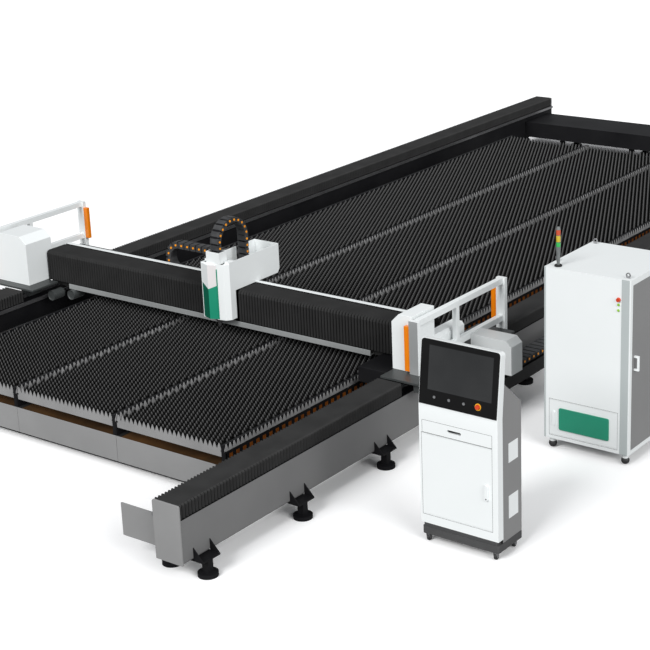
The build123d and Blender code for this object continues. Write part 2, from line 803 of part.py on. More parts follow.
nose_right = cover_left + 195
pocket_width = 220
pocket_depth = back_of_nose - nose_front - 30
head_x = (cover_left + nose_right) / 2 + 40
head_y = (nose_front + back_of_nose) / 2 + 3
arch_width = 100
arch_height = 45
arch_middle = cover_left + 150
chain_box_wall = 4
chain_box_width = arch_width + 60
chain_box_depth = 115
chain_box_top = 1359
cross_chain_width = 90
cross_chain_height = 50
cross_middle = beam_back + 135
cross_low = chain_tray_top
cross_high = cross_low + 300
cheek_setback = 16
with BuildPart() as carriage_cover:
    with BuildSketch(Plane.XY.offset(cover_bottom)):
        with BuildLine():
            Polyline(
                (cover_left, nose_front),
                (nose_right, nose_front),
                (cover_right - 35, nose_front + cheek_setback),
                (cover_right, nose_front + 60),
                (cover_right, back_of_nose),
                (cover_left, back_of_nose),
                close=True,
            )
        make_face()
    extrude(amount=cover_shoulder - cover_bottom)
    with BuildSketch(Plane.YZ.offset(cover_left)):
        with BuildLine():
            Polyline(
                (back_of_nose - 50, arm_bottom),
                (arm_back - 30, arm_bottom),
                (arm_back, arm_bottom + 40),
                (arm_back, arm_top),
                (nose_front + 60, arm_top),
                (nose_front + 60, arm_bottom + 100),
                close=True,
            )
        make_face()
    extrude(amount=cover_right - cover_left)
    with BuildSketch(Plane.XY.offset(arm_bottom + sheet)):
        with Locations((cover_left + sheet, back_of_nose + 10)):
            Rectangle(
                cover_right - cover_left - 2 * sheet,
                arm_back - sheet - back_of_nose - 10,
                align=(Align.MIN, Align.MIN),
            )
    extrude(amount=arm_top, mode=Mode.SUBTRACT)
    with BuildSketch(Plane.XY.offset(cover_bottom)):
        with Locations((head_x, head_y)):
            Rectangle(pocket_width, pocket_depth)
    extrude(amount=arm_top, mode=Mode.SUBTRACT)
    with BuildSketch(Plane.YZ.offset(cover_left)):
        with Locations((cross_middle, cross_high - 10)):
            Rectangle(cross_chain_width + 16, arm_top, align=(Align.CENTER, Align.MIN))
    extrude(amount=sheet, mode=Mode.SUBTRACT)
    with BuildSketch(Plane.XY.offset(arm_bottom + sheet)):
        with Locations((cover_left + sheet, cross_middle)):
            Rectangle(70, cross_chain_width - 20, align=(Align.MIN, Align.CENTER))
    extrude(amount=cross_high - arm_bottom - sheet)
    with BuildSketch(Plane.XY.offset(cover_shoulder)):
        with Locations((arch_middle, nose_front + 4)):
            Rectangle(chain_box_width, chain_box_depth, align=(Align.CENTER, Align.MIN))
        with Locations((arch_middle, nose_front + 4 + chain_box_wall)):
            Rectangle(
                chain_box_width - 2 * chain_box_wall,
                chain_box_depth - 2 * chain_box_wall,
                align=(Align.CENTER, Align.MIN),
                mode=Mode.SUBTRACT,
            )
    extrude(amount=chain_box_top - cover_shoulder)
carriage_cover.part.label = "carriage_cover"
export_step(carriage_cover.part, "parts/carriage_cover.step")

# Folded front panel with a ridge down its middle
ridge = 38
with BuildPart() as front_panel:
    with BuildSketch(Plane.XY.offset(cover_bottom + 8)):
        with BuildLine():
            Polyline(
                (cover_left + 8, nose_front),
                ((cover_left + nose_right) / 2 - 22, nose_front - ridge),
                (nose_right - 6, nose_front),
                close=True,
            )
        make_face()
    extrude(amount=cover_shoulder - cover_bottom - 16)
    with BuildSketch(Plane.YZ.offset(cover_left)):
        with BuildLine():
            Polyline(
                (nose_front - ridge - 1, cover_shoulder - 60),
                (nose_front - ridge - 1, cover_shoulder),
                (nose_front + 1, cover_shoulder),
                close=True,
            )
        make_face()
    extrude(amount=nose_right - cover_left, mode=Mode.SUBTRACT)
front_panel.part.label = "front_panel"
export_step(front_panel.part, "parts/front_panel.step")

# Arch of the height chain from the cutting head over into the tray
head_top = cover_bottom + 320
arch_front = nose_front + 62
arch_span = 393
arch_back = arch_front + arch_span
arch_radius = arch_span / 2
arch_spring = 1420
with BuildPart() as height_chain:
    with BuildSketch(Plane.YZ.offset(arch_middle)):
        with Locations(((arch_front + arch_back) / 2, arch_spring)):
            Circle(arch_radius + arch_height / 2)
            Circle(arch_radius - arch_height / 2, mode=Mode.SUBTRACT)
            Rectangle(4 * arch_radius, 4 * arch_radius, align=(Align.CENTER, Align.MAX), mode=Mode.SUBTRACT)
        with Locations((arch_front, arch_spring)):
            Rectangle(arch_height, arch_spring - head_top, align=(Align.CENTER, Align.MAX))
        with Locations((arch_back, arch_spring)):
            Rectangle(arch_height, arch_spring - arm_bottom - sheet, align=(Align.CENTER, Align.MAX))
    extrude(amount=arch_width / 2, both=True)
height_chain.part.label = "height_chain"
export_step(height_chain.part, "parts/height_chain.step")

# Chain of the cross axis: out of the arm over the beam tray, round the bend and back under itself
cross_bend = cover_left - 770
cross_radius = (cross_high - cross_low) / 2
with BuildPart() as cross_chain:
    with BuildSketch(Plane.XZ.offset(-cross_middle)):
        with Locations((cross_bend, cross_low + cross_chain_height / 2 + cross_radius)):
            Circle(cross_radius + cross_chain_height / 2)
            Circle(cross_radius - cross_chain_height / 2, mode=Mode.SUBTRACT)
            Rectangle(600, 600, align=(Align.MIN, Align.CENTER), mode=Mode.SUBTRACT)
        for z in (cross_low, cross_high):
            run_side = chain_side(cover_left + 90 - cross_bend, cross_chain_height, 110, 5)
            with BuildLine():
                Polyline(*[(cross_bend + x, z + h) for x, h in run_side], close=True)
            make_face()
    extrude(amount=cross_chain_width / 2, both=True)
cross_chain.part.label = "cross_chain"
export_step(cross_chain.part, "parts/cross_chain.step")

# Bellows over the beam on both sides of the carriage
fold_gap = 2
beam_cover_bottom = beam_bottom + lip_height
beam_cover_depth = beam_depth + 50
beam_cover_height = folds_top - beam_cover_bottom
beam_cover_wall = bellows_wall - 6
beam_cover_middle = cover_front + beam_cover_depth / 2
left_folds_length = cover_left - fold_gap - beam_left
right_folds_length = beam_right - cover_right - fold_gap
left_folds = folded_cover(
    left_folds_length, beam_cover_depth, beam_cover_height, beam_cover_wall, back_wall=False
)
right_folds = folded_cover(
    right_folds_length, beam_cover_depth, beam_cover_height, beam_cover_wall, back_wall=False
)
with BuildPart() as beam_bellows_left:
    with Locations(Location((cover_left - fold_gap, beam_cover_middle, beam_cover_bottom), (0, 0, 90))):
        add(left_folds)
beam_bellows_left.part.label = "beam_bellows_left"
export_step(beam_bellows_left.part, "parts/beam_bellows_left.step")

with BuildPart() as beam_bellows_right:
    with Locations(Location((beam_right, beam_cover_middle, beam_cover_bottom), (0, 0, 90))):
        add(right_folds)
beam_bellows_right.part.label = "beam_bellows_right"
export_step(beam_bellows_right.part, "parts/beam_bellows_right.step")

# Cutting head: slide in the nose, round body and nozzle
head_bottom = cover_bottom + 20
head_side = pocket_depth - 2 * running
nozzle_tip = 600
with BuildPart() as cutting_head:
    with BuildSketch(Plane.XY.offset(head_bottom)):
        with Locations((head_x, head_y)):
            Rectangle(120, head_side)
    extrude(amount=head_top - head_bottom)
    with BuildSketch(Plane.XZ.offset(-head_y)) as head_profile:
        with BuildLine():
            Polyline(
                (head_x, head_bottom),
                (head_x + 34, head_bottom),
                (head_x + 34, nozzle_tip + 62),
                (head_x + 20, nozzle_tip + 40),
                (head_x + 20, nozzle_tip + 26),
                (head_x + 4, nozzle_tip),
                (head_x, nozzle_tip),
                close=True,
            )
        make_face()
    revolve(axis=Axis((head_x, head_y, 0), (0, 0, 1)))
cutting_head.part.label = "cutting_head"
export_step(cutting_head.part, "parts/cutting_head.step")

# Operator console: places
console_left = mid_x + rail_outer + 1075
console_right = console_left + console_width
console_middle = console_left + console_width / 2
console_front_y = near_end + 1540
shell_depth = 70
console_back = console_front_y + 340
shell_bottom = 165
base_top = 130
base_bottom = 70
screen_foot = 1140
lean = 64
lean_angle = atan2(lean, console_height - screen_foot)
body_inset = 4
body_wall = 3
back_lean = (lean - 12) / (console_height - 10 - screen_foot)
slope_high = 1405
slope_low = 1190
door_left = console_left + 20
door_width = 624
door_bottom = 245
door_top = 905
door_thickness = 18
drawer_left = console_left + 28
drawer_width = 616
drawer_bottom = 918
drawer_top = 1016
drawer_depth = 290
runner = 14
button_line = 80
button_places = [console_left + 146 + i * 130 for i in range(3)]
estop_place = console_left + 528
button_radius = 11
button_stem = 8
button_travel = 3
estop_radius = 20
estop_travel = 4
estop_taper = 14
stem_length = 30
panel_proud = 8

screen_plane = Plane(
    origin=(console_middle, console_front_y, screen_foot),
    x_dir=(1, 0, 0),
    z_dir=(0, -cos(lean_angle), sin(lean_angle)),
)
screen_length = (console_height - screen_foot) / cos(lean_angle)
button_spots = [(x - console_middle, button_line) for x in button_places]
estop_spot = (estop_place - console_middle, button_line)

with BuildPart() as console_front:
    with BuildSketch(Plane.YZ.offset(console_left)):
        with BuildLine():
            Polyline(
                (console_front_y, shell_bottom),
                (console_front_y, screen_foot),
                (console_front_y + lean, console_height),
                (console_front_y + lean + shell_depth - 12, console_height - 10),
                (console_front_y + shell_depth, screen_foot),
                (console_front_y + shell_depth, shell_bottom),
                close=True,
            )
        make_face()
    extrude(amount=console_width)
    fillet(console_front.edges().filter_by(Axis.Y, tolerance=12).group_by(Axis.Z)[-1], radius=30)
    with BuildSketch(Plane.XZ.offset(-console_front_y)):
        with Locations((door_left - door_gap, door_bottom - door_gap)):
            Rectangle(
                door_width + 2 * door_gap,
                door_top - door_bottom + 2 * door_gap,
                align=(Align.MIN, Align.MIN),
            )
        with Locations((drawer_left - door_gap, drawer_bottom - door_gap)):
            Rectangle(
                drawer_width + 2 * door_gap,
                drawer_top - drawer_bottom + 2 * door_gap,
                align=(Align.MIN, Align.MIN),
            )
    extrude(amount=-shell_depth, mode=Mode.SUBTRACT)
    with BuildSketch(Plane.XY.offset(door_bottom - pin_reach - running)):
        with Locations((door_left + hinge_inset, console_front_y + hinge_depth)):
            Circle(hinge_pin + stem_play)
    extrude(amount=door_top - door_bottom + 2 * (pin_reach + running), mode=Mode.SUBTRACT)
    with BuildSketch(screen_plane):
        with Locations(*button_spots, estop_spot):
            Circle(button_stem + stem_play)
    extrude(amount=-40, mode=Mode.SUBTRACT)
console_front.part.label = "console_front"
export_step(console_front.part, "parts/console_front.step")

body_front = console_front_y + shell_depth
with BuildPart() as console_body:
    with BuildSketch(Plane.YZ.offset(console_left + body_inset)):
        with BuildLine():
            Polyline(
                (body_front, base_top),
                (body_front, screen_foot),
                (body_front + (slope_high - screen_foot) * back_lean, slope_high),
                (console_back, slope_low),
                (console_back, base_top),
                close=True,
            )
        make_face()
    extrude(amount=console_width - 2 * body_inset)
    with BuildSketch(Plane.XZ.offset(-body_front)):
        with Locations((console_left + body_inset + body_wall, base_top + body_wall)):
            Rectangle(
                console_width - 2 * body_inset - 2 * body_wall,
                drawer_bottom - base_top - 12,
                align=(Align.MIN, Align.MIN),
            )
        with Locations((console_left + body_inset + body_wall, drawer_bottom - 5)):
            Rectangle(
                console_width - 2 * body_inset - 2 * body_wall,
                drawer_top - drawer_bottom + 10,
                align=(Align.MIN, Align.MIN),
            )
    extrude(amount=-(console_back - body_front - body_wall), mode=Mode.SUBTRACT)
    with BuildSketch(Plane.YZ.offset(console_left + body_inset + body_wall)):
        with BuildLine():
            Polyline(
                (body_front, drawer_top + 9),
                (body_front, screen_foot),
                (body_front + (slope_high - 10 - screen_foot) * back_lean, slope_high - 10),
                (console_back - body_wall, slope_low - 8),
                (console_back - body_wall, drawer_top + 9),
                close=True,
            )
        make_face()
    extrude(amount=console_width - 2 * body_inset - 2 * body_wall, mode=Mode.SUBTRACT)
    runner_width = drawer_left + runner - running - console_left - body_inset - body_wall
    with BuildSketch(Plane.XZ.offset(-body_front)):
        with Locations((console_left + body_inset + body_wall, drawer_bottom + 20)):
            Rectangle(runner_width, 24, align=(Align.MIN, Align.MIN))
        with Locations((console_right - body_inset - body_wall, drawer_bottom + 20)):
            Rectangle(
                console_right - body_inset - body_wall - drawer_left - drawer_width + runner - running,
                24,
                align=(Align.MAX, Align.MIN),
            )
    extrude(amount=-(console_back - body_front - body_wall))
console_body.part.label = "console_body"
export_step(console_body.part, "parts/console_body.step")

# Base plate with sockets for the four casters
caster_trail = -12
wheel_diameter = 50
wheel_width = 22
axle_diameter = 8
wheel_height = wheel_diameter / 2
socket_depth = 15
stem_reach = base_bottom + socket_depth - wheel_height
caster_places = {
    "front_left": (console_left + 45, console_front_y + 40),
    "front_right": (console_right - 45, console_front_y + 40),
    "back_left": (console_left + 45, console_back - 45),
    "back_right": (console_right - 45, console_back - 45),
}
with BuildPart() as console_base:
    with BuildSketch(Plane.XY.offset(base_bottom)) as base_outline:
        with Locations((console_left + 8, console_front_y + 2)):
            Rectangle(
                console_width - 8, console_back - console_front_y + 4, align=(Align.MIN, Align.MIN)
            )
        fillet(base_outline.vertices(), radius=18)
    extrude(amount=base_top - base_bottom)
    with BuildSketch(Plane.XY.offset(base_top)):
        with Locations((console_left + 20, console_front_y + 12)):
            Rectangle(console_width - 40, shell_depth - 14, align=(Align.MIN, Align.MIN))
    extrude(amount=shell_bottom - base_top)
    with BuildSketch(Plane.XY.offset(base_bottom)):
        with Locations(*[(x, y + caster_trail) for x, y in caster_places.values()]):
            Circle(9 + stem_play)
    extrude(amount=socket_depth, mode=Mode.SUBTRACT)
console_base.part.label = "console_base"
export_step(console_base.part, "parts/console_base.step")

fork = caster_fork(wheel_diameter, wheel_width, axle_diameter, stem_reach)
wheel = caster_wheel(wheel_diameter, wheel_width, axle_diameter + 2 * stem_play)
for corner, (x, y) in caster_places.items():
    with BuildPart() as caster_fork_part:
        with Locations((x, y, wheel_height)):
            add(fork)
    caster_fork_part.part.label = f"caster_fork_{corner}"
    export_step(caster_fork_part.part, f"parts/caster_fork_{corner}.step")
    with BuildPart() as caster_wheel_part:
        with Locations((x, y, wheel_height)):
            add(wheel)
    caster_wheel_part.part.label = f"caster_wheel_{corner}"
    export_step(caster_wheel_part.part, f"parts/caster_wheel_{corner}.step")

# Screen panel on the leaning face, with holes for the buttons
with BuildPart() as screen_panel:
    with BuildSketch(screen_plane) as panel_outline:
        with Locations((0, 11)):
            Rectangle(console_width - 14, screen_length - 16, align=(Align.CENTER, Align.MIN))
        fillet(panel_outline.vertices().group_by(Axis.Y)[-1], radius=26)
        with Locations(*button_spots, estop_spot):
            Circle(button_stem + stem_play, mode=Mode.SUBTRACT)
    extrude(amount=panel_proud)
screen_panel.part.label = "screen_panel"
export_step(screen_panel.part, "parts/screen_panel.step")

for number, spot in enumerate(button_spots, start=1):
    cap_plane = screen_plane.offset(panel_proud + button_travel + running)
    panel_button = push_button(cap_plane, spot, button_radius, 4, stem_length)
    panel_button.label = f"panel_button_{number}"
    export_step(panel_button, f"parts/panel_button_{number}.step")

estop_plane = screen_plane.offset(panel_proud + estop_travel + running)
console_estop = push_button(estop_plane, estop_spot, estop_radius, 14, stem_length, estop_taper)
console_estop.label = "console_estop"
export_step(console_estop, "parts/console_estop.step")

# Keyboard drawer: front with a slot grip and an open tray behind it
tray_left_side = drawer_left + runner
tray_span = drawer_width - 2 * runner
with BuildPart() as keyboard_drawer:
    with BuildSketch(Plane.XZ.offset(-console_front_y)):
        with Locations((drawer_left, drawer_bottom)):
            Rectangle(drawer_width, drawer_top - drawer_bottom, align=(Align.MIN, Align.MIN))
        with Locations((console_middle - 35, (drawer_bottom + drawer_top) / 2)):
            SlotOverall(125, 24, mode=Mode.SUBTRACT)
    extrude(amount=-door_thickness)
    with BuildSketch(Plane.XY.offset(drawer_bottom + 6)):
        with Locations((tray_left_side, console_front_y + door_thickness)):
            Rectangle(tray_span, drawer_depth, align=(Align.MIN, Align.MIN))
    extrude(amount=50)
    with BuildSketch(Plane.XY.offset(drawer_bottom + 9)):
        with Locations((tray_left_side + 3, console_front_y + door_thickness)):
            Rectangle(tray_span - 6, drawer_depth - 3, align=(Align.MIN, Align.MIN))
    extrude(amount=50, mode=Mode.SUBTRACT)
keyboard_drawer.part.label = "keyboard_drawer"
export_step(keyboard_drawer.part, "parts/keyboard_drawer.step")

# Console door and its swing handle
lock_x = door_left + door_width - 47
lock_z = 510
lock_spindle = 6
with BuildPart() as console_door:
    with BuildSketch(Plane.XZ.offset(-console_front_y)):
        with Locations((door_left, door_bottom)):
            Rectangle(door_width, door_top - door_bottom, align=(Align.MIN, Align.MIN))
    extrude(amount=-door_thickness)
    with BuildSketch(Plane.XZ.offset(-(console_front_y + door_thickness))):
        with Locations((door_left + 14, door_bottom + 14)):
            Rectangle(door_width - 28, door_top - door_bottom - 28, align=(Align.MIN, Align.MIN))
    extrude(amount=door_thickness - 3, mode=Mode.SUBTRACT)
    with BuildSketch(Plane.XZ.offset(-console_front_y)):
        with Locations((lock_x, lock_z)):
            Rectangle(34, 34)
    extrude(amount=-door_thickness)
    with BuildSketch(Plane.XZ.offset(-console_front_y)):
        with Locations((lock_x, lock_z)):
            Circle(lock_spindle + stem_play)
    extrude(amount=-door_thickness, mode=Mode.SUBTRACT)
    with BuildSketch(Plane.XY.offset(door_bottom - pin_reach)):
        with Locations((door_left + hinge_inset, console_front_y + hinge_depth)):
            Circle(hinge_pin)
    extrude(amount=door_top - door_bottom + 2 * pin_reach)
console_door.part.label = "console_door"
export_step(console_door.part, "parts/console_door.step")

with BuildPart() as door_lock:
    with BuildSketch(Plane.XZ.offset(-(console_front_y - running))):
        with Locations((lock_x, lock_z + 40)):
            SlotOverall(128, 28, rotation=90)
    extrude(amount=14)
    with BuildSketch(Plane.XZ.offset(-(console_front_y - running))):
        with Locations((lock_x, lock_z)):
            Circle(lock_spindle)
    extrude(amount=-door_thickness)
door_lock.part.label = "door_lock"
export_step(door_lock.part, "parts/door_lock.step")

# Electrical cabinet
cabinet_x = mid_x + cabinet_left
cabinet_right = cabinet_x + cabinet_width
cabinet_front = near_end + 3574
cabinet_back = cabinet_front + cabinet_depth
cabinet_bottom = 100
cabinet_wall = 3
access_left = cabinet_x + 50
access_width = 653
access_bottom = 141
access_top = 460
side_front = cabinet_front + 40
side_width = cabinet_depth - 80
side_bottom = cabinet_bottom + 40
side_top = cabinet_height - 50
cabinet_button_x = cabinet_x + 700
cabinet_estop_z = 1469
cabinet_button_heights = {"start_button": 1425, "stop_button": 1377}
access_hinge_x = access_left + access_width - hinge_inset
side_hinge_y = side_front + side_width - hinge_inset
ball_radius = 36
ball_names = ("front_left", "back_left", "front_right", "back_right")
foot_inset = 55
cup_radius = 28
cup_bottom = 52
corner_places = [
    (x, y)
    for x in (cabinet_x + foot_inset, cabinet_right - foot_inset)
    for y in (cabinet_front + foot_inset, cabinet_back - foot_inset)
]
with BuildPart() as ball_cup:
    with BuildSketch(Plane.XZ):
        with Locations((0, cup_bottom)):
            Rectangle(cup_radius, cabinet_bottom - cup_bottom, align=(Align.MIN, Align.MIN))
        with Locations((0, ball_radius)):
            Circle(ball_radius + running, mode=Mode.SUBTRACT)
    revolve(axis=Axis.Z)

with BuildPart() as cabinet_body:
    with BuildSketch(Plane.XY.offset(cabinet_bottom)):
        with Locations((cabinet_x, cabinet_front)):
            Rectangle(cabinet_width, cabinet_depth, align=(Align.MIN, Align.MIN))
    extrude(amount=cabinet_height - cabinet_bottom)
    with BuildSketch(Plane.XY.offset(cabinet_bottom + cabinet_wall)):
        with Locations((cabinet_x + cabinet_wall, cabinet_front + cabinet_wall)):
            Rectangle(
                cabinet_width - 2 * cabinet_wall,
                cabinet_depth - 2 * cabinet_wall,
                align=(Align.MIN, Align.MIN),
            )
    extrude(amount=cabinet_height - cabinet_bottom - 2 * cabinet_wall, mode=Mode.SUBTRACT)
    with BuildSketch(Plane.XZ.offset(-cabinet_front)):
        with Locations((access_left - door_gap, access_bottom - door_gap)):
            Rectangle(
                access_width + 2 * door_gap,
                access_top - access_bottom + 2 * door_gap,
                align=(Align.MIN, Align.MIN),
            )
        with Locations(
            (cabinet_button_x, cabinet_estop_z),
            *[(cabinet_button_x, z) for z in cabinet_button_heights.values()],
        ):
            Circle(button_stem + stem_play)
    extrude(amount=-cabinet_wall, mode=Mode.SUBTRACT)
    with BuildSketch(Plane.YZ.offset(cabinet_right)):
        with Locations((side_front - door_gap, side_bottom - door_gap)):
            Rectangle(
                side_width + 2 * door_gap,
                side_top - side_bottom + 2 * door_gap,
                align=(Align.MIN, Align.MIN),
            )
    extrude(amount=-cabinet_wall, mode=Mode.SUBTRACT)
    for height in (access_bottom - door_gap - lug_height, access_top + door_gap):
        with BuildSketch(Plane.XY.offset(height)):
            with Locations((access_hinge_x, cabinet_front)):
                Rectangle(16, lug_height, align=(Align.CENTER, Align.MIN))
        extrude(amount=lug_height)
    for height in (side_bottom - door_gap - lug_height, side_top + door_gap):
        with BuildSketch(Plane.XY.offset(height)):
            with Locations((cabinet_right, side_hinge_y)):
                Rectangle(lug_height, 16, align=(Align.MAX, Align.CENTER))
        extrude(amount=lug_height)
    with BuildSketch(Plane.XY.offset(access_bottom - pin_reach - running)):
        with Locations((access_hinge_x, cabinet_front + hinge_depth)):
            Circle(hinge_pin + stem_play)
    extrude(amount=access_top - access_bottom + 2 * (pin_reach + running), mode=Mode.SUBTRACT)
    with BuildSketch(Plane.XY.offset(side_bottom - pin_reach - running)):
        with Locations((cabinet_right - hinge_depth, side_hinge_y)):
            Circle(hinge_pin + stem_play)
    extrude(amount=side_top - side_bottom + 2 * (pin_reach + running), mode=Mode.SUBTRACT)
    with Locations(*corner_places):
        add(ball_cup.part)
cabinet_body.part.label = "cabinet_body"
export_step(cabinet_body.part, "parts/cabinet_body.step")

for name, (x, y) in zip(ball_names, corner_places):
    with BuildPart() as ball_caster:
        with Locations((x, y, ball_radius)):
            Sphere(ball_radius)
    ball_caster.part.label = f"ball_caster_{name}"
    export_step(ball_caster.part, f"parts/ball_caster_{name}.step")

grip_length = 130
with BuildPart() as access_door:
    with BuildSketch(Plane.XZ.offset(-cabinet_front)):
        with Locations((access_left, access_bottom)):
            Rectangle(access_width, access_top - access_bottom, align=(Align.MIN, Align.MIN))
    extrude(amount=-cabinet_wall)
    with BuildSketch(Plane.XZ.offset(-cabinet_front)):
        with Locations((access_left + 46, (access_bottom + access_top) / 2 - 6)):
            SlotOverall(grip_length, 26, rotation=90)
    extrude(amount=10)
    with BuildSketch(Plane.XY.offset(access_bottom)):
        with Locations((access_hinge_x, cabinet_front + hinge_depth)):
            Circle(hinge_depth)
    extrude(amount=access_top - access_bottom)
    with BuildSketch(Plane.XY.offset(access_bottom - pin_reach)):
        with Locations((access_hinge_x, cabinet_front + hinge_depth)):
            Circle(hinge_pin)
    extrude(amount=access_top - access_bottom + 2 * pin_reach)
access_door.part.label = "access_door"
export_step(access_door.part, "parts/access_door.step")

grip_z = 912
grip_end = grip_length / 2 - 8
with BuildPart() as side_door:
    with BuildSketch(Plane.YZ.offset(cabinet_right)):
        with Locations((side_front, side_bottom)):
            Rectangle(side_width, side_top - side_bottom, align=(Align.MIN, Align.MIN))
    extrude(amount=-cabinet_wall)
    with BuildSketch(Plane.YZ.offset(cabinet_right)):
        with Locations((side_front + 40, grip_z - grip_end), (side_front + 40, grip_z + grip_end)):
            Rectangle(18, 16)
    extrude(amount=handle_reach - 14)
    with BuildSketch(Plane.YZ.offset(cabinet_right + handle_reach - 14)):
        with Locations((side_front + 40, grip_z)):
            Rectangle(18, grip_length)
    extrude(amount=14)
    with BuildSketch(Plane.XY.offset(side_bottom)):
        with Locations((cabinet_right - hinge_depth, side_hinge_y)):
            Circle(hinge_depth)
    extrude(amount=side_top - side_bottom)
    with BuildSketch(Plane.XY.offset(side_bottom - pin_reach)):
        with Locations((cabinet_right - hinge_depth, side_hinge_y)):
            Circle(hinge_pin)
    extrude(amount=side_top - side_bottom + 2 * pin_reach)
side_door.part.label = "side_door"
export_step(side_door.part, "parts/side_door.step")

wall_estop_plane = Plane.XZ.offset(estop_travel + running - cabinet_front)
wall_button_plane = Plane.XZ.offset(button_travel + running - cabinet_front)
cabinet_estop = push_button(
    wall_estop_plane, (cabinet_button_x, cabinet_estop_z), estop_radius, 16, stem_length, estop_taper
)
cabinet_estop.label = "cabinet_estop"
export_step(cabinet_estop, "parts/cabinet_estop.step")

for name, height in cabinet_button_heights.items():
    cabinet_button = push_button(wall_button_plane, (cabinet_button_x, height), button_radius, 5, stem_length)
    cabinet_button.label = name
    export_step(cabinet_button, f"parts/{name}.step")

# Lifting eyes and signal lamp on the roof
eye_radius = 22
eye_thickness = 10
eye_places = corner_places[1:] + [(cabinet_x + 20, cabinet_front + 190)]
with BuildPart() as single_eye:
    with BuildSketch(Plane.XZ):
        with Locations((0, eye_radius + 4)):
            Circle(eye_radius)
        Rectangle(2 * eye_radius - 10, eye_radius, align=(Align.CENTER, Align.MIN))
        with Locations((0, eye_radius + 6)):
            Circle(eye_radius / 2, mode=Mode.SUBTRACT)
    extrude(amount=eye_thickness / 2, both=True)
with BuildPart() as lifting_eyes:
    with Locations(*[(x, y, cabinet_height) for x, y in eye_places]):
        add(single_eye.part)
lifting_eyes.part.label = "lifting_eyes"
export_step(lifting_eyes.part, "parts/lifting_eyes.step")

lamp_x = cabinet_x + 99
lamp_y = cabinet_front + 60
lamp_height = 342
with BuildPart() as signal_lamp:
    with BuildSketch(Plane.XZ.offset(-lamp_y)):
        with BuildLine():
            Polyline(
                (lamp_x, cabinet_height),
                (lamp_x + 36, cabinet_height),
                (lamp_x + 36, cabinet_height + 10),
                (lamp_x + 12, cabinet_height + 22),
                (lamp_x + 12, cabinet_height + 90),
                (lamp_x + 25, cabinet_height + 96),
                (lamp_x + 25, cabinet_height + lamp_height - 14),
                (lamp_x + 12, cabinet_height + lamp_height),
                (lamp_x, cabinet_height + lamp_height),
                close=True,
            )
        make_face()
    revolve(axis=Axis((lamp_x, lamp_y, 0), (0, 0, 1)))
signal_lamp.part.label = "signal_lamp"
export_step(signal_lamp.part, "parts/signal_lamp.step")
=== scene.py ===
import json
from math import pi, radians

import bmesh
import bpy
from mathutils import Matrix, Vector

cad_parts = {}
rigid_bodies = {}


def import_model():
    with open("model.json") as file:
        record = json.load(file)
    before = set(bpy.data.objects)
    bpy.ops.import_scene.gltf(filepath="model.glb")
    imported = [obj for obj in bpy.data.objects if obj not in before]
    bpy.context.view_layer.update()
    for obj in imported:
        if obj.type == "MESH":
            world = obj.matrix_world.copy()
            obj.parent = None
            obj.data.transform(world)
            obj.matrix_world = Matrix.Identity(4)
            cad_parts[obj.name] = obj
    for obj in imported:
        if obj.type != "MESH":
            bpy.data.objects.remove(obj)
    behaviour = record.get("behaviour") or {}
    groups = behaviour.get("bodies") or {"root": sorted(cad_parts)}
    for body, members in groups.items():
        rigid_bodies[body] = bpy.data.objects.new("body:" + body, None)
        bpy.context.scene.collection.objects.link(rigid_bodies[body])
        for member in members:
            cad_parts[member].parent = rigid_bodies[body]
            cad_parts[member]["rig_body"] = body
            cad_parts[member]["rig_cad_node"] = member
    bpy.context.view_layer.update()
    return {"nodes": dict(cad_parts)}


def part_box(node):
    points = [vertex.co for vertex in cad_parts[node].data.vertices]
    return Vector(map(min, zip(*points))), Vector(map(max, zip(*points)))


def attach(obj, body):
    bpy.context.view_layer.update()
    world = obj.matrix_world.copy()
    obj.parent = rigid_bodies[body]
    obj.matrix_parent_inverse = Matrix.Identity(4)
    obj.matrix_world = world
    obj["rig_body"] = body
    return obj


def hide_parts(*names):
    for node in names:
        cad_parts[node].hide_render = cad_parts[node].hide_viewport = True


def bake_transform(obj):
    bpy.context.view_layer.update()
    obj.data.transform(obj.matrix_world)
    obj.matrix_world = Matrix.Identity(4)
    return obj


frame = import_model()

nodes = frame["nodes"]
bpy.ops.object.select_all(action="DESELECT")
bpy.context.scene.view_settings.view_transform = "Standard"

# camera, lamps and floor

view = {
    "place": (9.5318, -14.8137, 5.8705),
    "turn": 36.789,      # towards the bed, from straight along the rails
    "down": 18.343,
    "roll": -2.055,
    "lens": 92.158,
    "shiftX": -0.06,
    "shiftY": -0.05,
}
cameraData = bpy.data.cameras.new("viewCamera")
camera = bpy.data.objects.new("viewCamera", cameraData)
bpy.context.scene.collection.objects.link(camera)
camera.matrix_world = (
    Matrix.Translation(view["place"])
    @ Matrix.Rotation(radians(view["turn"]), 4, "Z")
    @ Matrix.Rotation(radians(90 - view["down"]), 4, "X")
    @ Matrix.Rotation(radians(view["roll"]), 4, "Z")
)
cameraData.lens = view["lens"]
cameraData.sensor_width = 36
cameraData.shift_x = view["shiftX"]
cameraData.shift_y = view["shiftY"]
cameraData.clip_end = 400
bpy.context.scene.camera = camera

studio = {
    "key": (-0.05, -0.80, 0.60), "keyPower": 2.4, "keySoft": 28,
    "fill": (0.85, -0.25, 0.46), "fillPower": 2.0, "fillSoft": 40,
    "worldLight": 0.36, "floorSeen": 1.08, "floorBounce": 0.35,
}


def addSun(name, toward, power, soft):
    bpy.ops.object.light_add(type="SUN", location=Vector(toward) * 20)
    lamp = bpy.context.object
    lamp.name = name
    lamp.data.energy = power
    lamp.data.angle = radians(soft)
    lamp.rotation_euler = Vector(toward).to_track_quat("Z", "Y").to_euler()
    bpy.ops.object.select_all(action="DESELECT")


addSun("keySun", studio["key"], studio["keyPower"], studio["keySoft"])
addSun("fillSun", studio["fill"], studio["fillPower"], studio["fillSoft"])

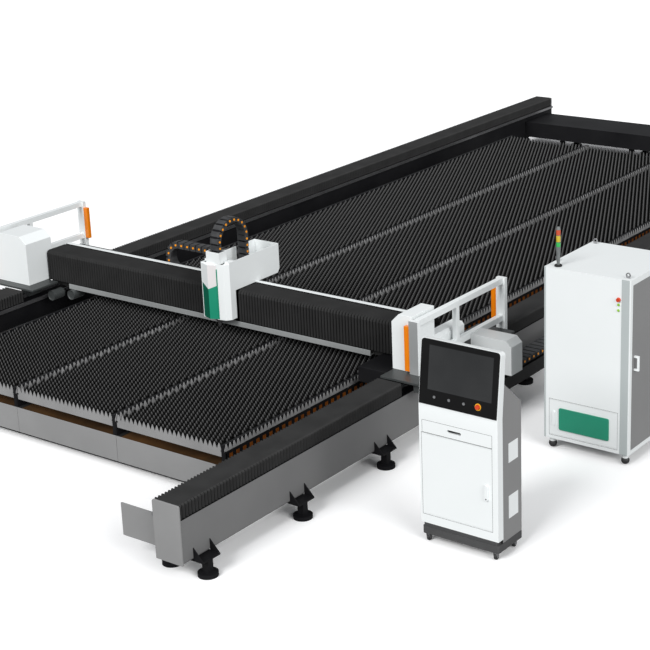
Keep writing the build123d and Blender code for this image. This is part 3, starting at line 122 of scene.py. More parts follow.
world = bpy.data.worlds.new("studioWorld")
bpy.context.scene.world = world
world.use_nodes = True
tree = world.node_tree
for node in list(tree.nodes):
    tree.nodes.remove(node)
worldOut = tree.nodes.new("ShaderNodeOutputWorld")
worldMix = tree.nodes.new("ShaderNodeMixShader")
roomLight = tree.nodes.new("ShaderNodeBackground")
roomLight.inputs["Color"].default_value = (0.95, 0.97, 1.0, 1)
roomLight.inputs["Strength"].default_value = studio["worldLight"]
whiteWall = tree.nodes.new("ShaderNodeBackground")
whiteWall.inputs["Color"].default_value = (1, 1, 1, 1)
whiteWall.inputs["Strength"].default_value = 1.0
rays = tree.nodes.new("ShaderNodeLightPath")
eitherRay = tree.nodes.new("ShaderNodeMath")
eitherRay.operation = "MAXIMUM"
tree.links.new(rays.outputs["Is Camera Ray"], eitherRay.inputs[0])
tree.links.new(rays.outputs["Is Transmission Ray"], eitherRay.inputs[1])
tree.links.new(eitherRay.outputs[0], worldMix.inputs[0])
tree.links.new(roomLight.outputs[0], worldMix.inputs[1])
tree.links.new(whiteWall.outputs[0], worldMix.inputs[2])
tree.links.new(worldMix.outputs[0], worldOut.inputs[0])

bpy.ops.mesh.primitive_plane_add(size=260, location=(0, 0, -0.001))
floor = bpy.context.object
floor.name = "studioFloor"
floorPaint = bpy.data.materials.new("floorWhite")
floorPaint.use_nodes = True
tree = floorPaint.node_tree
tree.nodes.remove(tree.nodes["Principled BSDF"])
seen = tree.nodes.new("ShaderNodeBsdfDiffuse")
seen.inputs["Color"].default_value = (studio["floorSeen"],) * 3 + (1,)
bounced = tree.nodes.new("ShaderNodeBsdfDiffuse")
bounced.inputs["Color"].default_value = (studio["floorBounce"],) * 3 + (1,)
rays = tree.nodes.new("ShaderNodeLightPath")
floorMix = tree.nodes.new("ShaderNodeMixShader")
tree.links.new(rays.outputs["Is Camera Ray"], floorMix.inputs[0])
tree.links.new(bounced.outputs[0], floorMix.inputs[1])
tree.links.new(seen.outputs[0], floorMix.inputs[2])
tree.links.new(floorMix.outputs[0], tree.nodes["Material Output"].inputs[0])
floor.data.materials.append(floorPaint)
bpy.ops.object.select_all(action="DESELECT")
print("camera, lamps and floor are set")

# finishes

finishes = {}
surface = {"coatRough": 0.15, "bumpDepth": 0.0006, "waveBend": 0.6}
grainNodes = {"wave": "ShaderNodeTexWave", "cells": "ShaderNodeTexVoronoi"}      # else noise


# look: two colours and the size of their patches, a roughness range, grain and bump
def makeFinish(name, look):
    material = bpy.data.materials.new(name)
    material.use_nodes = True
    tree = material.node_tree
    shader = tree.nodes["Principled BSDF"]
    shader.inputs["Metallic"].default_value = look.get("metal", 0.0)
    shader.inputs["Specular IOR Level"].default_value = look.get("specular", 0.5)
    shader.inputs["Coat Weight"].default_value = look.get("coat", 0.0)
    shader.inputs["Coat Roughness"].default_value = surface["coatRough"]
    place = tree.nodes.new("ShaderNodeTexCoord")
    patch = tree.nodes.new("ShaderNodeTexNoise")
    patch.inputs["Scale"].default_value = look["patch"]
    patch.inputs["Detail"].default_value = 4
    tree.links.new(place.outputs["Object"], patch.inputs["Vector"])
    ramp = tree.nodes.new("ShaderNodeValToRGB")
    ramp.color_ramp.elements[0].position = 0.35
    ramp.color_ramp.elements[1].position = 0.65
    ramp.color_ramp.elements[0].color = (*look["colour"], 1)
    ramp.color_ramp.elements[1].color = (*look["colour2"], 1)
    tree.links.new(patch.outputs["Fac"], ramp.inputs["Fac"])
    colour = ramp.outputs["Color"]
    if "tip" in look:      # painted highlight, lighter towards the points of the teeth
        split = tree.nodes.new("ShaderNodeSeparateXYZ")
        tree.links.new(place.outputs["Object"], split.inputs[0])
        tipHighlightMask = tree.nodes.new("ShaderNodeMapRange")
        tipHighlightMask.inputs["From Min"].default_value = look["tip"][0]
        tipHighlightMask.inputs["From Max"].default_value = look["tip"][1]
        tree.links.new(split.outputs["Z"], tipHighlightMask.inputs["Value"])
        mix = tree.nodes.new("ShaderNodeMix")
        mix.data_type = "RGBA"
        mix.inputs[7].default_value = (*look["tipHighlightColour"], 1)
        tree.links.new(tipHighlightMask.outputs[0], mix.inputs[0])
        tree.links.new(colour, mix.inputs[6])
        colour = mix.outputs[2]
    tree.links.new(colour, shader.inputs["Base Color"])
    rough = tree.nodes.new("ShaderNodeMapRange")
    low, high = look["rough"]
    rough.inputs["To Min"].default_value = low
    rough.inputs["To Max"].default_value = high
    kind = look.get("grain", "noise")
    stretch = tree.nodes.new("ShaderNodeMapping")
    tree.links.new(place.outputs["Object"], stretch.inputs["Vector"])
    grain = tree.nodes.new(grainNodes.get(kind, "ShaderNodeTexNoise"))
    grain.inputs["Scale"].default_value = look["grainScale"]
    if kind == "wave":
        grain.inputs["Distortion"].default_value = surface["waveBend"]
    elif kind != "cells":
        grain.inputs["Detail"].default_value = 5
    if kind == "brushed":
        stretch.inputs["Scale"].default_value = look["brush"]
    tree.links.new(stretch.outputs["Vector"], grain.inputs["Vector"])
    grainOut = grain.outputs["Distance"] if kind == "cells" else grain.outputs["Fac"]
    tree.links.new(grainOut, rough.inputs["Value"])
    tree.links.new(rough.outputs[0], shader.inputs["Roughness"])
    bump = tree.nodes.new("ShaderNodeBump")
    bump.inputs["Strength"].default_value = look["bump"]
    bump.inputs["Distance"].default_value = surface["bumpDepth"]
    tree.links.new(grainOut, bump.inputs["Height"])
    tree.links.new(bump.outputs[0], shader.inputs["Normal"])
    finishes[name] = material


looks = {
    "whitePaint": {"colour": (0.83, 0.86, 0.86), "colour2": (0.80, 0.83, 0.83), "patch": 0.8,
                   "rough": (0.32, 0.42), "grain": "cells", "grainScale": 260, "bump": 0.05, "coat": 0.15},
    "railPaint": {"colour": (0.172, 0.172, 0.172), "colour2": (0.150, 0.150, 0.151), "patch": 1.1,
                  "rough": (0.32, 0.44), "grainScale": 160, "bump": 0.10, "specular": 0.3},
    "plateGrey": {"colour": (0.27, 0.27, 0.27), "colour2": (0.24, 0.24, 0.24), "patch": 1.5,
                  "rough": (0.38, 0.50), "grainScale": 180, "bump": 0.10},
    "blackPaint": {"colour": (0.006, 0.006, 0.007), "colour2": (0.010, 0.010, 0.011), "patch": 2.5,
                   "rough": (0.44, 0.60), "grainScale": 140, "bump": 0.12, "specular": 0.12},
    "darkSteel": {"colour": (0.012, 0.012, 0.012), "colour2": (0.018, 0.018, 0.018), "patch": 2.0,
                  "rough": (0.44, 0.60), "grainScale": 120, "bump": 0.15, "specular": 0.2},
    "slatePaint": {"colour": (0.055, 0.060, 0.060), "colour2": (0.042, 0.046, 0.046), "patch": 1.6,
                   "rough": (0.34, 0.48), "grainScale": 150, "bump": 0.08, "specular": 0.3},
    "baseGrey": {"colour": (0.070, 0.070, 0.071), "colour2": (0.058, 0.058, 0.059), "patch": 4.0,
                 "rough": (0.40, 0.52), "grainScale": 200, "bump": 0.08, "specular": 0.3},
    "frontSlat": {"colour": (0.27, 0.27, 0.27), "colour2": (0.24, 0.24, 0.24), "patch": 4.0,
                  "rough": (0.42, 0.54), "grainScale": 200, "bump": 0.08},
    "combGrey": {"colour": (0.34, 0.34, 0.34), "colour2": (0.24, 0.24, 0.24), "patch": 5.0,
                 "rough": (0.45, 0.60), "grainScale": 200, "bump": 0.10, "specular": 0.3},
    "rustGlimpse": {"colour": (0.23, 0.065, 0.004), "colour2": (0.15, 0.040, 0.003), "patch": 9.0,
                    "rough": (0.50, 0.65), "grainScale": 120, "bump": 0.15, "specular": 0.2},
    "hoodGrey": {"colour": (0.60, 0.62, 0.62), "colour2": (0.56, 0.58, 0.58), "patch": 1.5,
                 "rough": (0.34, 0.44), "grain": "cells", "grainScale": 260, "bump": 0.05},
    # the next two are darker copies of white and green paint: painted shade on facets of the carriage's front
    # panel
    "blushWhitePaintedShade": {"colour": (0.74, 0.71, 0.71), "colour2": (0.70, 0.67, 0.67), "patch": 2.0,
                   "rough": (0.30, 0.40), "grain": "cells", "grainScale": 260, "bump": 0.04},
    "greenPaintedShade": {"colour": (0.002, 0.115, 0.068), "colour2": (0.002, 0.100, 0.058), "patch": 1.5,
                   "rough": (0.30, 0.40), "grain": "cells", "grainScale": 260, "bump": 0.04},
    # lighter copy of the bellows cloth: painted light on the rising half of each fold
    "clothPaintedLight": {"colour": (0.028, 0.028, 0.028), "colour2": (0.022, 0.022, 0.022), "patch": 5.0,
                   "rough": (0.50, 0.64), "grain": "wave", "grainScale": 500, "bump": 0.12, "specular": 0.15},
    "consoleGrey": {"colour": (0.235, 0.235, 0.235), "colour2": (0.218, 0.218, 0.218), "patch": 1.0,
                    "rough": (0.40, 0.50), "grain": "cells", "grainScale": 260, "bump": 0.05},
    "cornerGrey": {"colour": (0.46, 0.50, 0.50), "colour2": (0.43, 0.47, 0.47), "patch": 1.0,
                   "rough": (0.35, 0.45), "grain": "cells", "grainScale": 260, "bump": 0.05},
    "greenPaint": {"colour": (0.014, 0.270, 0.160), "colour2": (0.011, 0.235, 0.140), "patch": 1.5,
                   "rough": (0.30, 0.40), "grain": "cells", "grainScale": 260, "bump": 0.04, "coat": 0.2},
    "orangeStrip": {"colour": (0.86, 0.235, 0.003), "colour2": (0.80, 0.205, 0.003), "patch": 4.0,
                    "rough": (0.25, 0.35), "grainScale": 300, "bump": 0.04, "coat": 0.3},
    "orangeDot": {"colour": (0.98, 0.37, 0.01), "colour2": (0.92, 0.32, 0.01), "patch": 20.0,
                  "rough": (0.30, 0.40), "grainScale": 600, "bump": 0.03},
    "bellowsCloth": {"colour": (0.0015, 0.0015, 0.0015), "colour2": (0.003, 0.003, 0.003), "patch": 5.0,
                     "rough": (0.48, 0.62), "grain": "wave", "grainScale": 500, "bump": 0.12,
                     "specular": 0.05},
    "chainPlastic": {"colour": (0.038, 0.039, 0.041), "colour2": (0.060, 0.061, 0.063), "patch": 14.0,
                     "rough": (0.46, 0.58), "grainScale": 500, "bump": 0.08, "specular": 0.2},
    # black slat steel; the points of the teeth get a painted highlight
    "slatSteel": {"colour": (0.003, 0.003, 0.003), "colour2": (0.006, 0.006, 0.006), "patch": 6.0,
                  "rough": (0.45, 0.60), "grainScale": 220, "bump": 0.15, "specular": 0.1,
                  "tip": (0.466, 0.494), "tipHighlightColour": (0.140, 0.140, 0.140)},
    "brightMetal": {"colour": (0.58, 0.60, 0.60), "colour2": (0.50, 0.52, 0.52), "patch": 2.0,
                    "rough": (0.28, 0.42), "grain": "brushed", "grainScale": 240, "bump": 0.06,
                    "metal": 0.55, "brush": (0.03, 1, 1)},
    "guideSteel": {"colour": (0.40, 0.40, 0.41), "colour2": (0.33, 0.33, 0.34), "patch": 3.0,
                   "rough": (0.22, 0.36), "grain": "brushed", "grainScale": 260, "bump": 0.05,
                   "metal": 0.9, "brush": (1, 0.03, 1)},
    "headMetal": {"colour": (0.35, 0.35, 0.36), "colour2": (0.28, 0.28, 0.29), "patch": 8.0,
                  "rough": (0.20, 0.34), "grain": "brushed", "grainScale": 300, "bump": 0.05,
                  "metal": 0.8, "brush": (1, 1, 0.05)},
    "screenPlastic": {"colour": (0.0060, 0.0060, 0.0062), "colour2": (0.008, 0.008, 0.0083), "patch": 3.0,
                      "rough": (0.26, 0.34), "grainScale": 500, "bump": 0.01, "specular": 0.15},
    "displayGlass": {"colour": (0.020, 0.021, 0.022), "colour2": (0.034, 0.035, 0.036), "patch": 1.5,
                     "rough": (0.20, 0.28), "grainScale": 600, "bump": 0.005, "specular": 0.25},
    "redPlastic": {"colour": (0.62, 0.055, 0.012), "colour2": (0.54, 0.045, 0.010), "patch": 30.0,
                   "rough": (0.24, 0.34), "grainScale": 700, "bump": 0.03, "coat": 0.3},
    "yellowPlastic": {"colour": (0.80, 0.42, 0.02), "colour2": (0.72, 0.37, 0.02), "patch": 30.0,
                      "rough": (0.28, 0.38), "grainScale": 700, "bump": 0.03},
    "keyMetal": {"colour": (0.42, 0.43, 0.44), "colour2": (0.34, 0.35, 0.36), "patch": 40.0,
                 "rough": (0.22, 0.34), "grainScale": 700, "bump": 0.03, "metal": 0.8},
    "greenButton": {"colour": (0.30, 0.56, 0.06), "colour2": (0.24, 0.48, 0.05), "patch": 40.0,
                    "rough": (0.22, 0.32), "grainScale": 700, "bump": 0.03, "coat": 0.3},
    "wheelRubber": {"colour": (0.018, 0.018, 0.019), "colour2": (0.028, 0.028, 0.029), "patch": 25.0,
                    "rough": (0.45, 0.62), "grainScale": 420, "bump": 0.12},
    "lampGrey": {"colour": (0.16, 0.17, 0.17), "colour2": (0.13, 0.14, 0.14), "patch": 25.0,
                 "rough": (0.30, 0.42), "grainScale": 500, "bump": 0.05},
    "lampRed": {"colour": (0.60, 0.09, 0.03), "colour2": (0.50, 0.07, 0.03), "patch": 25.0,
                "rough": (0.14, 0.22), "grainScale": 500, "bump": 0.03, "coat": 0.5},
    "lampYellow": {"colour": (0.62, 0.46, 0.03), "colour2": (0.54, 0.40, 0.03), "patch": 25.0,
                   "rough": (0.14, 0.22), "grainScale": 500, "bump": 0.03, "coat": 0.5},
    "lampGreen": {"colour": (0.04, 0.46, 0.10), "colour2": (0.03, 0.38, 0.08), "patch": 25.0,
                  "rough": (0.14, 0.22), "grainScale": 500, "bump": 0.03, "coat": 0.5},
    "scorchedSteel": {"colour": (0.045, 0.022, 0.006), "colour2": (0.085, 0.036, 0.008), "patch": 3.0,
                      "rough": (0.45, 0.65), "grainScale": 90, "bump": 0.2},
}
for name, look in looks.items():
    makeFinish(name, look)
print("finishes made:", len(finishes))

# shaping helpers


def pick(obj):
    bpy.ops.object.select_all(action="DESELECT")
    obj.select_set(True)
    bpy.context.view_layer.objects.active = obj


def addBlock(name, low, high):
    low, high = Vector(low), Vector(high)
    bpy.ops.object.select_all(action="DESELECT")
    bpy.ops.mesh.primitive_cube_add(size=1, location=(low + high) / 2)
    obj = bpy.context.object
    obj.scale = high - low
    bpy.ops.object.transform_apply(location=True, rotation=True, scale=True)
    obj.name = name
    return obj


def addRound(name, centre, radius, depth, axis="Z", sides=24):
    bpy.ops.object.select_all(action="DESELECT")
    bpy.ops.mesh.primitive_cylinder_add(vertices=sides, radius=radius, depth=depth, location=centre)
    obj = bpy.context.object
    turns = {"Y": (pi / 2, 0, 0), "Z": (0, 0, 0)}
    obj.rotation_euler = turns[axis]
    bpy.ops.object.transform_apply(location=True, rotation=True, scale=True)
    obj.name = name
    return obj


def enterEdit(obj, kind):      # VERT, EDGE or FACE, with nothing selected
    pick(obj)
    bpy.ops.object.mode_set(mode="EDIT")
    bpy.ops.mesh.select_mode(type=kind)
    bpy.ops.mesh.select_all(action="DESELECT")


def leaveEdit():
    bpy.ops.object.mode_set(mode="OBJECT")


def selectFaces(obj, test):
    enterEdit(obj, "FACE")
    shape = bmesh.from_edit_mesh(obj.data)
    for face in shape.faces:
        face.select_set(test(face.calc_center_median(), face.normal))
    bmesh.update_edit_mesh(obj.data)


def soften(obj, width, segments=2, angle=35):
    pick(obj)
    bpy.ops.object.modifier_add(type="BEVEL")
    bevel = obj.modifiers[-1]
    bevel.width = width
    bevel.segments = segments
    bevel.limit_method = "ANGLE"
    bevel.angle_limit = radians(angle)
    bevel.use_clamp_overlap = True
    bpy.ops.object.modifier_apply(modifier=bevel.name)
    bpy.ops.object.shade_smooth_by_angle(angle=radians(angle))
    bpy.ops.object.modifier_add(type="WEIGHTED_NORMAL")
    obj.modifiers[-1].keep_sharp = True
    bpy.ops.object.modifier_apply(modifier=obj.modifiers[-1].name)


def roundCorners(obj, radius, segments=4):      # the edges that run along Y
    enterEdit(obj, "EDGE")
    shape = bmesh.from_edit_mesh(obj.data)
    for edge in shape.edges:
        run = edge.verts[1].co - edge.verts[0].co
        edge.select_set(abs(run.normalized().y) > 0.9)
    bmesh.update_edit_mesh(obj.data)
    bpy.ops.mesh.bevel(offset=radius, segments=segments)
    leaveEdit()


def repeatPiece(obj, count, step, merge=False):
    pick(obj)
    bpy.ops.object.modifier_add(type="ARRAY")
    array = obj.modifiers[-1]
    array.count = count
    array.use_relative_offset = False
    array.use_constant_offset = True
    array.constant_offset_displace = step
    array.use_merge_vertices = merge
    array.merge_threshold = 0.0002
    bpy.ops.object.modifier_apply(modifier=array.name)


def copyTo(obj, matrix):
    pick(obj)
    bpy.ops.object.duplicate(linked=False)
    copy = bpy.context.object
    copy.matrix_world = matrix
    bpy.ops.object.transform_apply(location=True, rotation=True, scale=True)
    return copy


def joinAll(pieces, name):
    bpy.ops.object.select_all(action="DESELECT")
    for piece in pieces:
        piece.select_set(True)
    bpy.context.view_layer.objects.active = pieces[0]
    if len(pieces) > 1:
        bpy.ops.object.join()
    obj = bpy.context.object
    obj.name = name
    return obj


def moveMesh(obj, matrix):
    pick(obj)
    obj.matrix_world = matrix @ obj.matrix_world
    bpy.ops.object.transform_apply(location=True, rotation=True, scale=True)


def fixNormals(obj):
    pick(obj)
    bpy.ops.object.mode_set(mode="EDIT")
    bpy.ops.mesh.select_all(action="SELECT")
    bpy.ops.mesh.normals_make_consistent(inside=False)
    leaveEdit()


def place(obj, body, finish, replaced=(), slot=None):
    if finish:
        obj.data.materials.clear()
        obj.data.materials.append(finishes[finish])
    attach(obj, body)
    if replaced:
        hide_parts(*replaced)


# CAD pieces dressed with rounded edges and a finish

dressing = {      # node: (finish, edge radius)
    "rail_beams": ("railPaint", 0.006), "rail_end_plates": ("plateGrey", 0.002),
    "rail_brackets": ("blackPaint", 0.002), "rail_feet": ("blackPaint", 0.004),
    "far_crossbeam": ("blackPaint", 0.006), "cable_tray": ("darkSteel", 0.001),
    "bed_frame": ("darkSteel", 0.004), "bed_panels": ("plateGrey", 0.002),
    "gantry_beam": ("darkSteel", 0.002), "carriage_plates": ("slatePaint", 0.003),
    "end_boxes": ("whitePaint", 0.006), "guard_frames": ("whitePaint", 0.003),
    "light_curtains": ("orangeStrip", 0.004), "chain_hood": ("hoodGrey", 0.010),
    "carriage_plate": ("darkSteel", 0.002), "carriage_cover": ("whitePaint", 0.003),
    "cutting_head": ("headMetal", 0.003), "console_front": ("whitePaint", 0.010),
    "console_body": ("consoleGrey", 0.004), "console_base": ("baseGrey", 0.005),
    "screen_panel": ("screenPlastic", 0.003), "keyboard_drawer": ("whitePaint", 0.0015),
    "console_door": ("whitePaint", 0.0015), "door_lock": ("whitePaint", 0.004),
    "cabinet_body": ("whitePaint", 0.004), "access_door": ("whitePaint", 0.0010),
    "side_door": ("consoleGrey", 0.0010), "lifting_eyes": ("guideSteel", 0.0020),
}
plain = {      # node: finish, shown as they are
    "rail_guides": "guideSteel", "slag_troughs": "scorchedSteel", "slat_combs": "blackPaint",
    "panel_button_1": "keyMetal", "panel_button_2": "keyMetal", "panel_button_3": "keyMetal",
    "console_estop": "redPlastic", "cabinet_estop": "redPlastic",
    "start_button": "greenButton", "stop_button": "greenButton",
}
for corner in ("front_left", "front_right", "back_left", "back_right"):
    dressing["caster_fork_" + corner] = ("guideSteel", 0.0008)
    plain["caster_wheel_" + corner] = "wheelRubber"
    plain["ball_caster_" + corner] = "wheelRubber"

railMiddle = sum(p.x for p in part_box("rail_beams")) / 2
paintEdge = {"stripLow": 0.955, "lipHigh": 0.66, "lipBack": -3.482, "guardFront": -3.80, "handleWide": 0.034}
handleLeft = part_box("side_door")[1].x - paintEdge["handleWide"]
secondPaint = {      # node: (finish, which faces)
    "rail_beams": [("blackPaint", lambda c, n: n.x * (c.x - railMiddle) < 0.3)],
    "gantry_beam": [("whitePaint", lambda c, n: c.z > paintEdge["stripLow"]),
                    ("brightMetal", lambda c, n: c.z < paintEdge["lipHigh"] and c.y < paintEdge["lipBack"])],
    "guard_frames": [("brightMetal", lambda c, n: n.y < -0.5 and c.y < paintEdge["guardFront"])],
    "side_door": [("whitePaint", lambda c, n: c.x > handleLeft)],
}

for node, (finish, radius) in dressing.items():
    source = nodes[node]
    pick(source)
    bpy.ops.object.duplicate(linked=False)
    copy = bpy.context.object
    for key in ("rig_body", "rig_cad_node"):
        if key in copy:
            del copy[key]
    copy.parent = None
    copy.matrix_world = Matrix.Identity(4)
    bpy.ops.object.mode_set(mode="EDIT")
    bpy.ops.mesh.select_all(action="SELECT")
    bpy.ops.mesh.remove_doubles(threshold=0.00005)
    bpy.ops.mesh.dissolve_limited(angle_limit=radians(2))
    leaveEdit()
    soften(copy, radius)
    copy.name = "dressed_" + node
    place(copy, source["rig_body"], finish, (node,))
    if node in secondPaint:
        for number, (other, test) in enumerate(secondPaint[node], start=1):
            copy.data.materials.append(finishes[other])
            for face in copy.data.polygons:
                if test(face.center, face.normal):
                    face.material_index = number
for node, finish in plain.items():
    nodes[node].data.materials.clear()
    nodes[node].data.materials.append(finishes[finish])
print("CAD pieces dressed:", len(dressing))

# bellows: one fold of an open sleeve, repeated


# along +Y from the origin, open below
def foldedSleeve(name, sleeve):
    wide, high = sleeve["wide"], sleeve["high"]
    step = sleeve["length"] / sleeve["folds"]
    bpy.ops.object.select_all(action="DESELECT")
    bpy.ops.mesh.primitive_plane_add(size=1, rotation=(pi / 2, 0, 0), location=(0, 0, high / 2))
    obj = bpy.context.object
    obj.scale = (wide - 2 * sleeve["depth"], high - sleeve["depth"], 1)
    bpy.ops.object.transform_apply(location=True, rotation=True, scale=True)
    low = min(v.co.z for v in obj.data.vertices)
    enterEdit(obj, "VERT")
    shape = bmesh.from_edit_mesh(obj.data)
    for vertex in shape.verts:
        vertex.select_set(vertex.co.z > low + 0.01)
    bmesh.update_edit_mesh(obj.data)
    bpy.ops.mesh.bevel(offset=sleeve["corner"], segments=2, affect="VERTICES")
    bpy.ops.mesh.select_all(action="SELECT")
    bpy.ops.mesh.delete(type="ONLY_FACE")
    bpy.ops.mesh.select_mode(type="EDGE")
    bpy.ops.mesh.select_all(action="DESELECT")
    shape = bmesh.from_edit_mesh(obj.data)
    bottom = min(v.co.z for v in shape.verts)
    for edge in shape.edges:
        edge.select_set(all(v.co.z < bottom + 0.001 for v in edge.verts))
    bmesh.update_edit_mesh(obj.data)
    bpy.ops.mesh.delete(type="EDGE")      # the sleeve stays open below
    bpy.ops.mesh.select_all(action="SELECT")
    widen = wide / (wide - 2 * sleeve["depth"])
    lift = high / (high - sleeve["depth"])
    foot = (0, 0, bottom)
    bpy.ops.mesh.extrude_edges_move(TRANSFORM_OT_translate={"value": (0, step / 2, 0)})
    bpy.ops.transform.resize(value=(widen, 1, lift), center_override=foot)
    bpy.ops.mesh.extrude_edges_move(TRANSFORM_OT_translate={"value": (0, step / 2, 0)})
    bpy.ops.transform.resize(value=(1 / widen, 1, 1 / lift), center_override=foot)
    leaveEdit()
    repeatPiece(obj, sleeve["folds"], (0, step, 0), merge=True)
    fixNormals(obj)
    pick(obj)
    bpy.ops.object.modifier_add(type="SOLIDIFY")
    obj.modifiers[-1].thickness = sleeve["cloth"]
    obj.modifiers[-1].offset = 0
    bpy.ops.object.modifier_apply(modifier=obj.modifiers[-1].name)
    obj.data.materials.append(finishes["bellowsCloth"])
    obj.data.materials.append(finishes["clothPaintedLight"])
    for face in obj.data.polygons:      # the half of a fold that rises shows lighter: painted light, a lighter copy of the cloth
        along = (face.center.y / step) % 1.0
        face.material_index = 1 if along < 0.5 else 0
    obj.name = name
    return obj


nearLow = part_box("near_bellows")[0]
farLow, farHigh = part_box("far_bellows")
beamLow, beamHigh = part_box("rail_beams")
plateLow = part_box("carriage_plates")[0]
railWide = 0.265
railTop = 0.515
rightRail = beamHigh.x - railWide / 2
leftRail = beamLow.x + railWide / 2
leftPlateFront = plateLow.y + 0.103      # the left plate stands further back

railSleeve = {"wide": 0.262, "high": 0.119, "depth": 0.012, "corner": 0.012, "pitch": 0.036, "cloth": 0.002}
sleeves = [      # name, rail, start, end, bodies from start to end, node stood for
    ("nearSleeveRight", rightRail, nearLow.y, plateLow.y, "machine", "gantry", ("near_bellows",)),
    ("nearSleeveLeft", leftRail, nearLow.y, leftPlateFront, "machine", "gantry", ()),
    ("farSleeveRight", rightRail, farLow.y, farHigh.y, "gantry", "machine", ("far_bellows",)),
    ("farSleeveLeft", leftRail, farLow.y, farHigh.y, "gantry", "machine", ()),
]
for name, rail, start, end, first, last, replaced in sleeves:
    sleeve = dict(railSleeve, length=end - start)
    sleeve["folds"] = round(sleeve["length"] / sleeve["pitch"])
    obj = foldedSleeve(name, sleeve)
    moveMesh(obj, Matrix.Translation((rail, start, railTop)))
    if replaced:
        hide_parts(*replaced)
    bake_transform(obj)

leftLow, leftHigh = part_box("beam_bellows_left")
rightLow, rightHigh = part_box("beam_bellows_right")
beamSleeve = {"wide": 0.288, "high": 0.311, "depth": 0.012, "corner": 0.030, "pitch": 0.034, "cloth": 0.002}
for name, low, high, first, last, node in (
    ("beamSleeveLeft", leftLow, leftHigh, "gantry", "carriage", "beam_bellows_left"),
    ("beamSleeveRight", rightLow, rightHigh, "carriage", "gantry", "beam_bellows_right"),
):
    sleeve = dict(beamSleeve, length=high.x - low.x)
    sleeve["folds"] = round(sleeve["length"] / sleeve["pitch"])
    obj = foldedSleeve(name, sleeve)
    middle = (low.y + high.y) / 2
    moveMesh(obj, Matrix.Translation((high.x, middle, low.z)) @ Matrix.Rotation(pi / 2, 4, "Z"))
    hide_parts(node)
    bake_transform(obj)
print("bellows folded")

# slats: one tooth, then a blade, then the column

slatLow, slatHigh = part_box("slats")
combLow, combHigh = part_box("slat_combs")
bed = {
    "columns": 3, "teeth": 24, "rows": 210, "blade": 0.003, "toothDepth": 0.055, "tip": 0.10,
    "holder": 0.040, "gap": 0.010, "endGap": 0.01,
}
columnWide = (slatHigh.x - slatLow.x) / bed["columns"]
rowStep = (slatHigh.y - slatLow.y - bed["endGap"]) / (bed["rows"] - 1)
toothWide = (columnWide - bed["holder"] - bed["gap"]) / bed["teeth"]


def toothedBlade(name, left, front, count):
    blade = addBlock(name, (left, front, slatLow.z),
                     (left + toothWide, front + bed["blade"], slatHigh.z - bed["toothDepth"]))
    selectFaces(blade, lambda c, n: n.z > 0.9)
    bpy.ops.mesh.extrude_region_move(TRANSFORM_OT_translate={"value": (0, 0, bed["toothDepth"])})
    middle = (left + toothWide / 2, front, slatHigh.z)
    bpy.ops.transform.resize(value=(bed["tip"], 1, 1), center_override=middle)
    leaveEdit()
    selectFaces(blade, lambda c, n: abs(n.x) > 0.99)
    bpy.ops.mesh.delete(type="FACE")
    leaveEdit()
    repeatPiece(blade, count, (toothWide, 0, 0), merge=True)
    return blade


for column in range(bed["columns"]):
    left = slatLow.x + column * columnWide + bed["gap"]
    frontRow = toothedBlade("frontSlat" + str(column + 1), left, slatLow.y, bed["teeth"])
    place(frontRow, "machine", "frontSlat", (), "slat_steel")
    odd = toothedBlade("oddBlade", left, slatLow.y + 2 * rowStep, bed["teeth"])
    even = toothedBlade("evenBlade", left + toothWide / 2, slatLow.y + rowStep, bed["teeth"] - 1)
    field = joinAll([even, odd], "slatColumn" + str(column + 1))
    repeatPiece(field, bed["rows"] // 2 - 1, (0, 2 * rowStep, 0))
    place(field, "machine", "slatSteel", ("slats",) if column == 0 else (), "slat_steel")
print("slats laid")

# holders along the column edges: a black bar with a row of grey teeth beside it

holder = {
    "low": 0.300, "top": 0.486, "plateLow": 0.418, "toothTop": 0.492, "toothDip": 0.052, "toothTip": 0.12,
    "plate": 0.003, "leftGap": 0.004, "rightGap": 0.001, "firstShift": 0.4, "edge": 0.003,
}
for number in range(bed["columns"] + 1):
    right = slatLow.x + number * columnWide
    left = right - bed["holder"] + holder["leftGap"]
    bar = addBlock("holderBar" + str(number + 1), (left, combLow.y, holder["low"]),
                   (right - holder["rightGap"], combHigh.y, holder["top"]))
    if number == 0:
        moveMesh(bar, Matrix.Translation((bed["holder"] * holder["firstShift"], 0, 0)))
    soften(bar, holder["edge"])
    place(bar, "machine", "blackPaint", (), "dark_grey_paint")
    if number == 0:
        continue
    tooth = addBlock("holderTeeth" + str(number + 1), (right, combLow.y, holder["plateLow"]),
                     (right + holder["plate"], combLow.y + rowStep, holder["toothTop"] - holder["toothDip"]))
    selectFaces(tooth, lambda c, n: n.z > 0.9)
    bpy.ops.mesh.extrude_region_move(TRANSFORM_OT_translate={"value": (0, 0, holder["toothDip"])})
    middle = (right, combLow.y + rowStep / 2, 0)
    bpy.ops.transform.resize(value=(1, holder["toothTip"], 1), center_override=middle)
    leaveEdit()
    selectFaces(tooth, lambda c, n: abs(n.y) > 0.99)
    bpy.ops.mesh.delete(type="FACE")
    leaveEdit()
    repeatPiece(tooth, int((combHigh.y - combLow.y) / rowStep), (0, rowStep, 0), merge=True)
    place(tooth, "machine", "combGrey", (), "slat_steel")

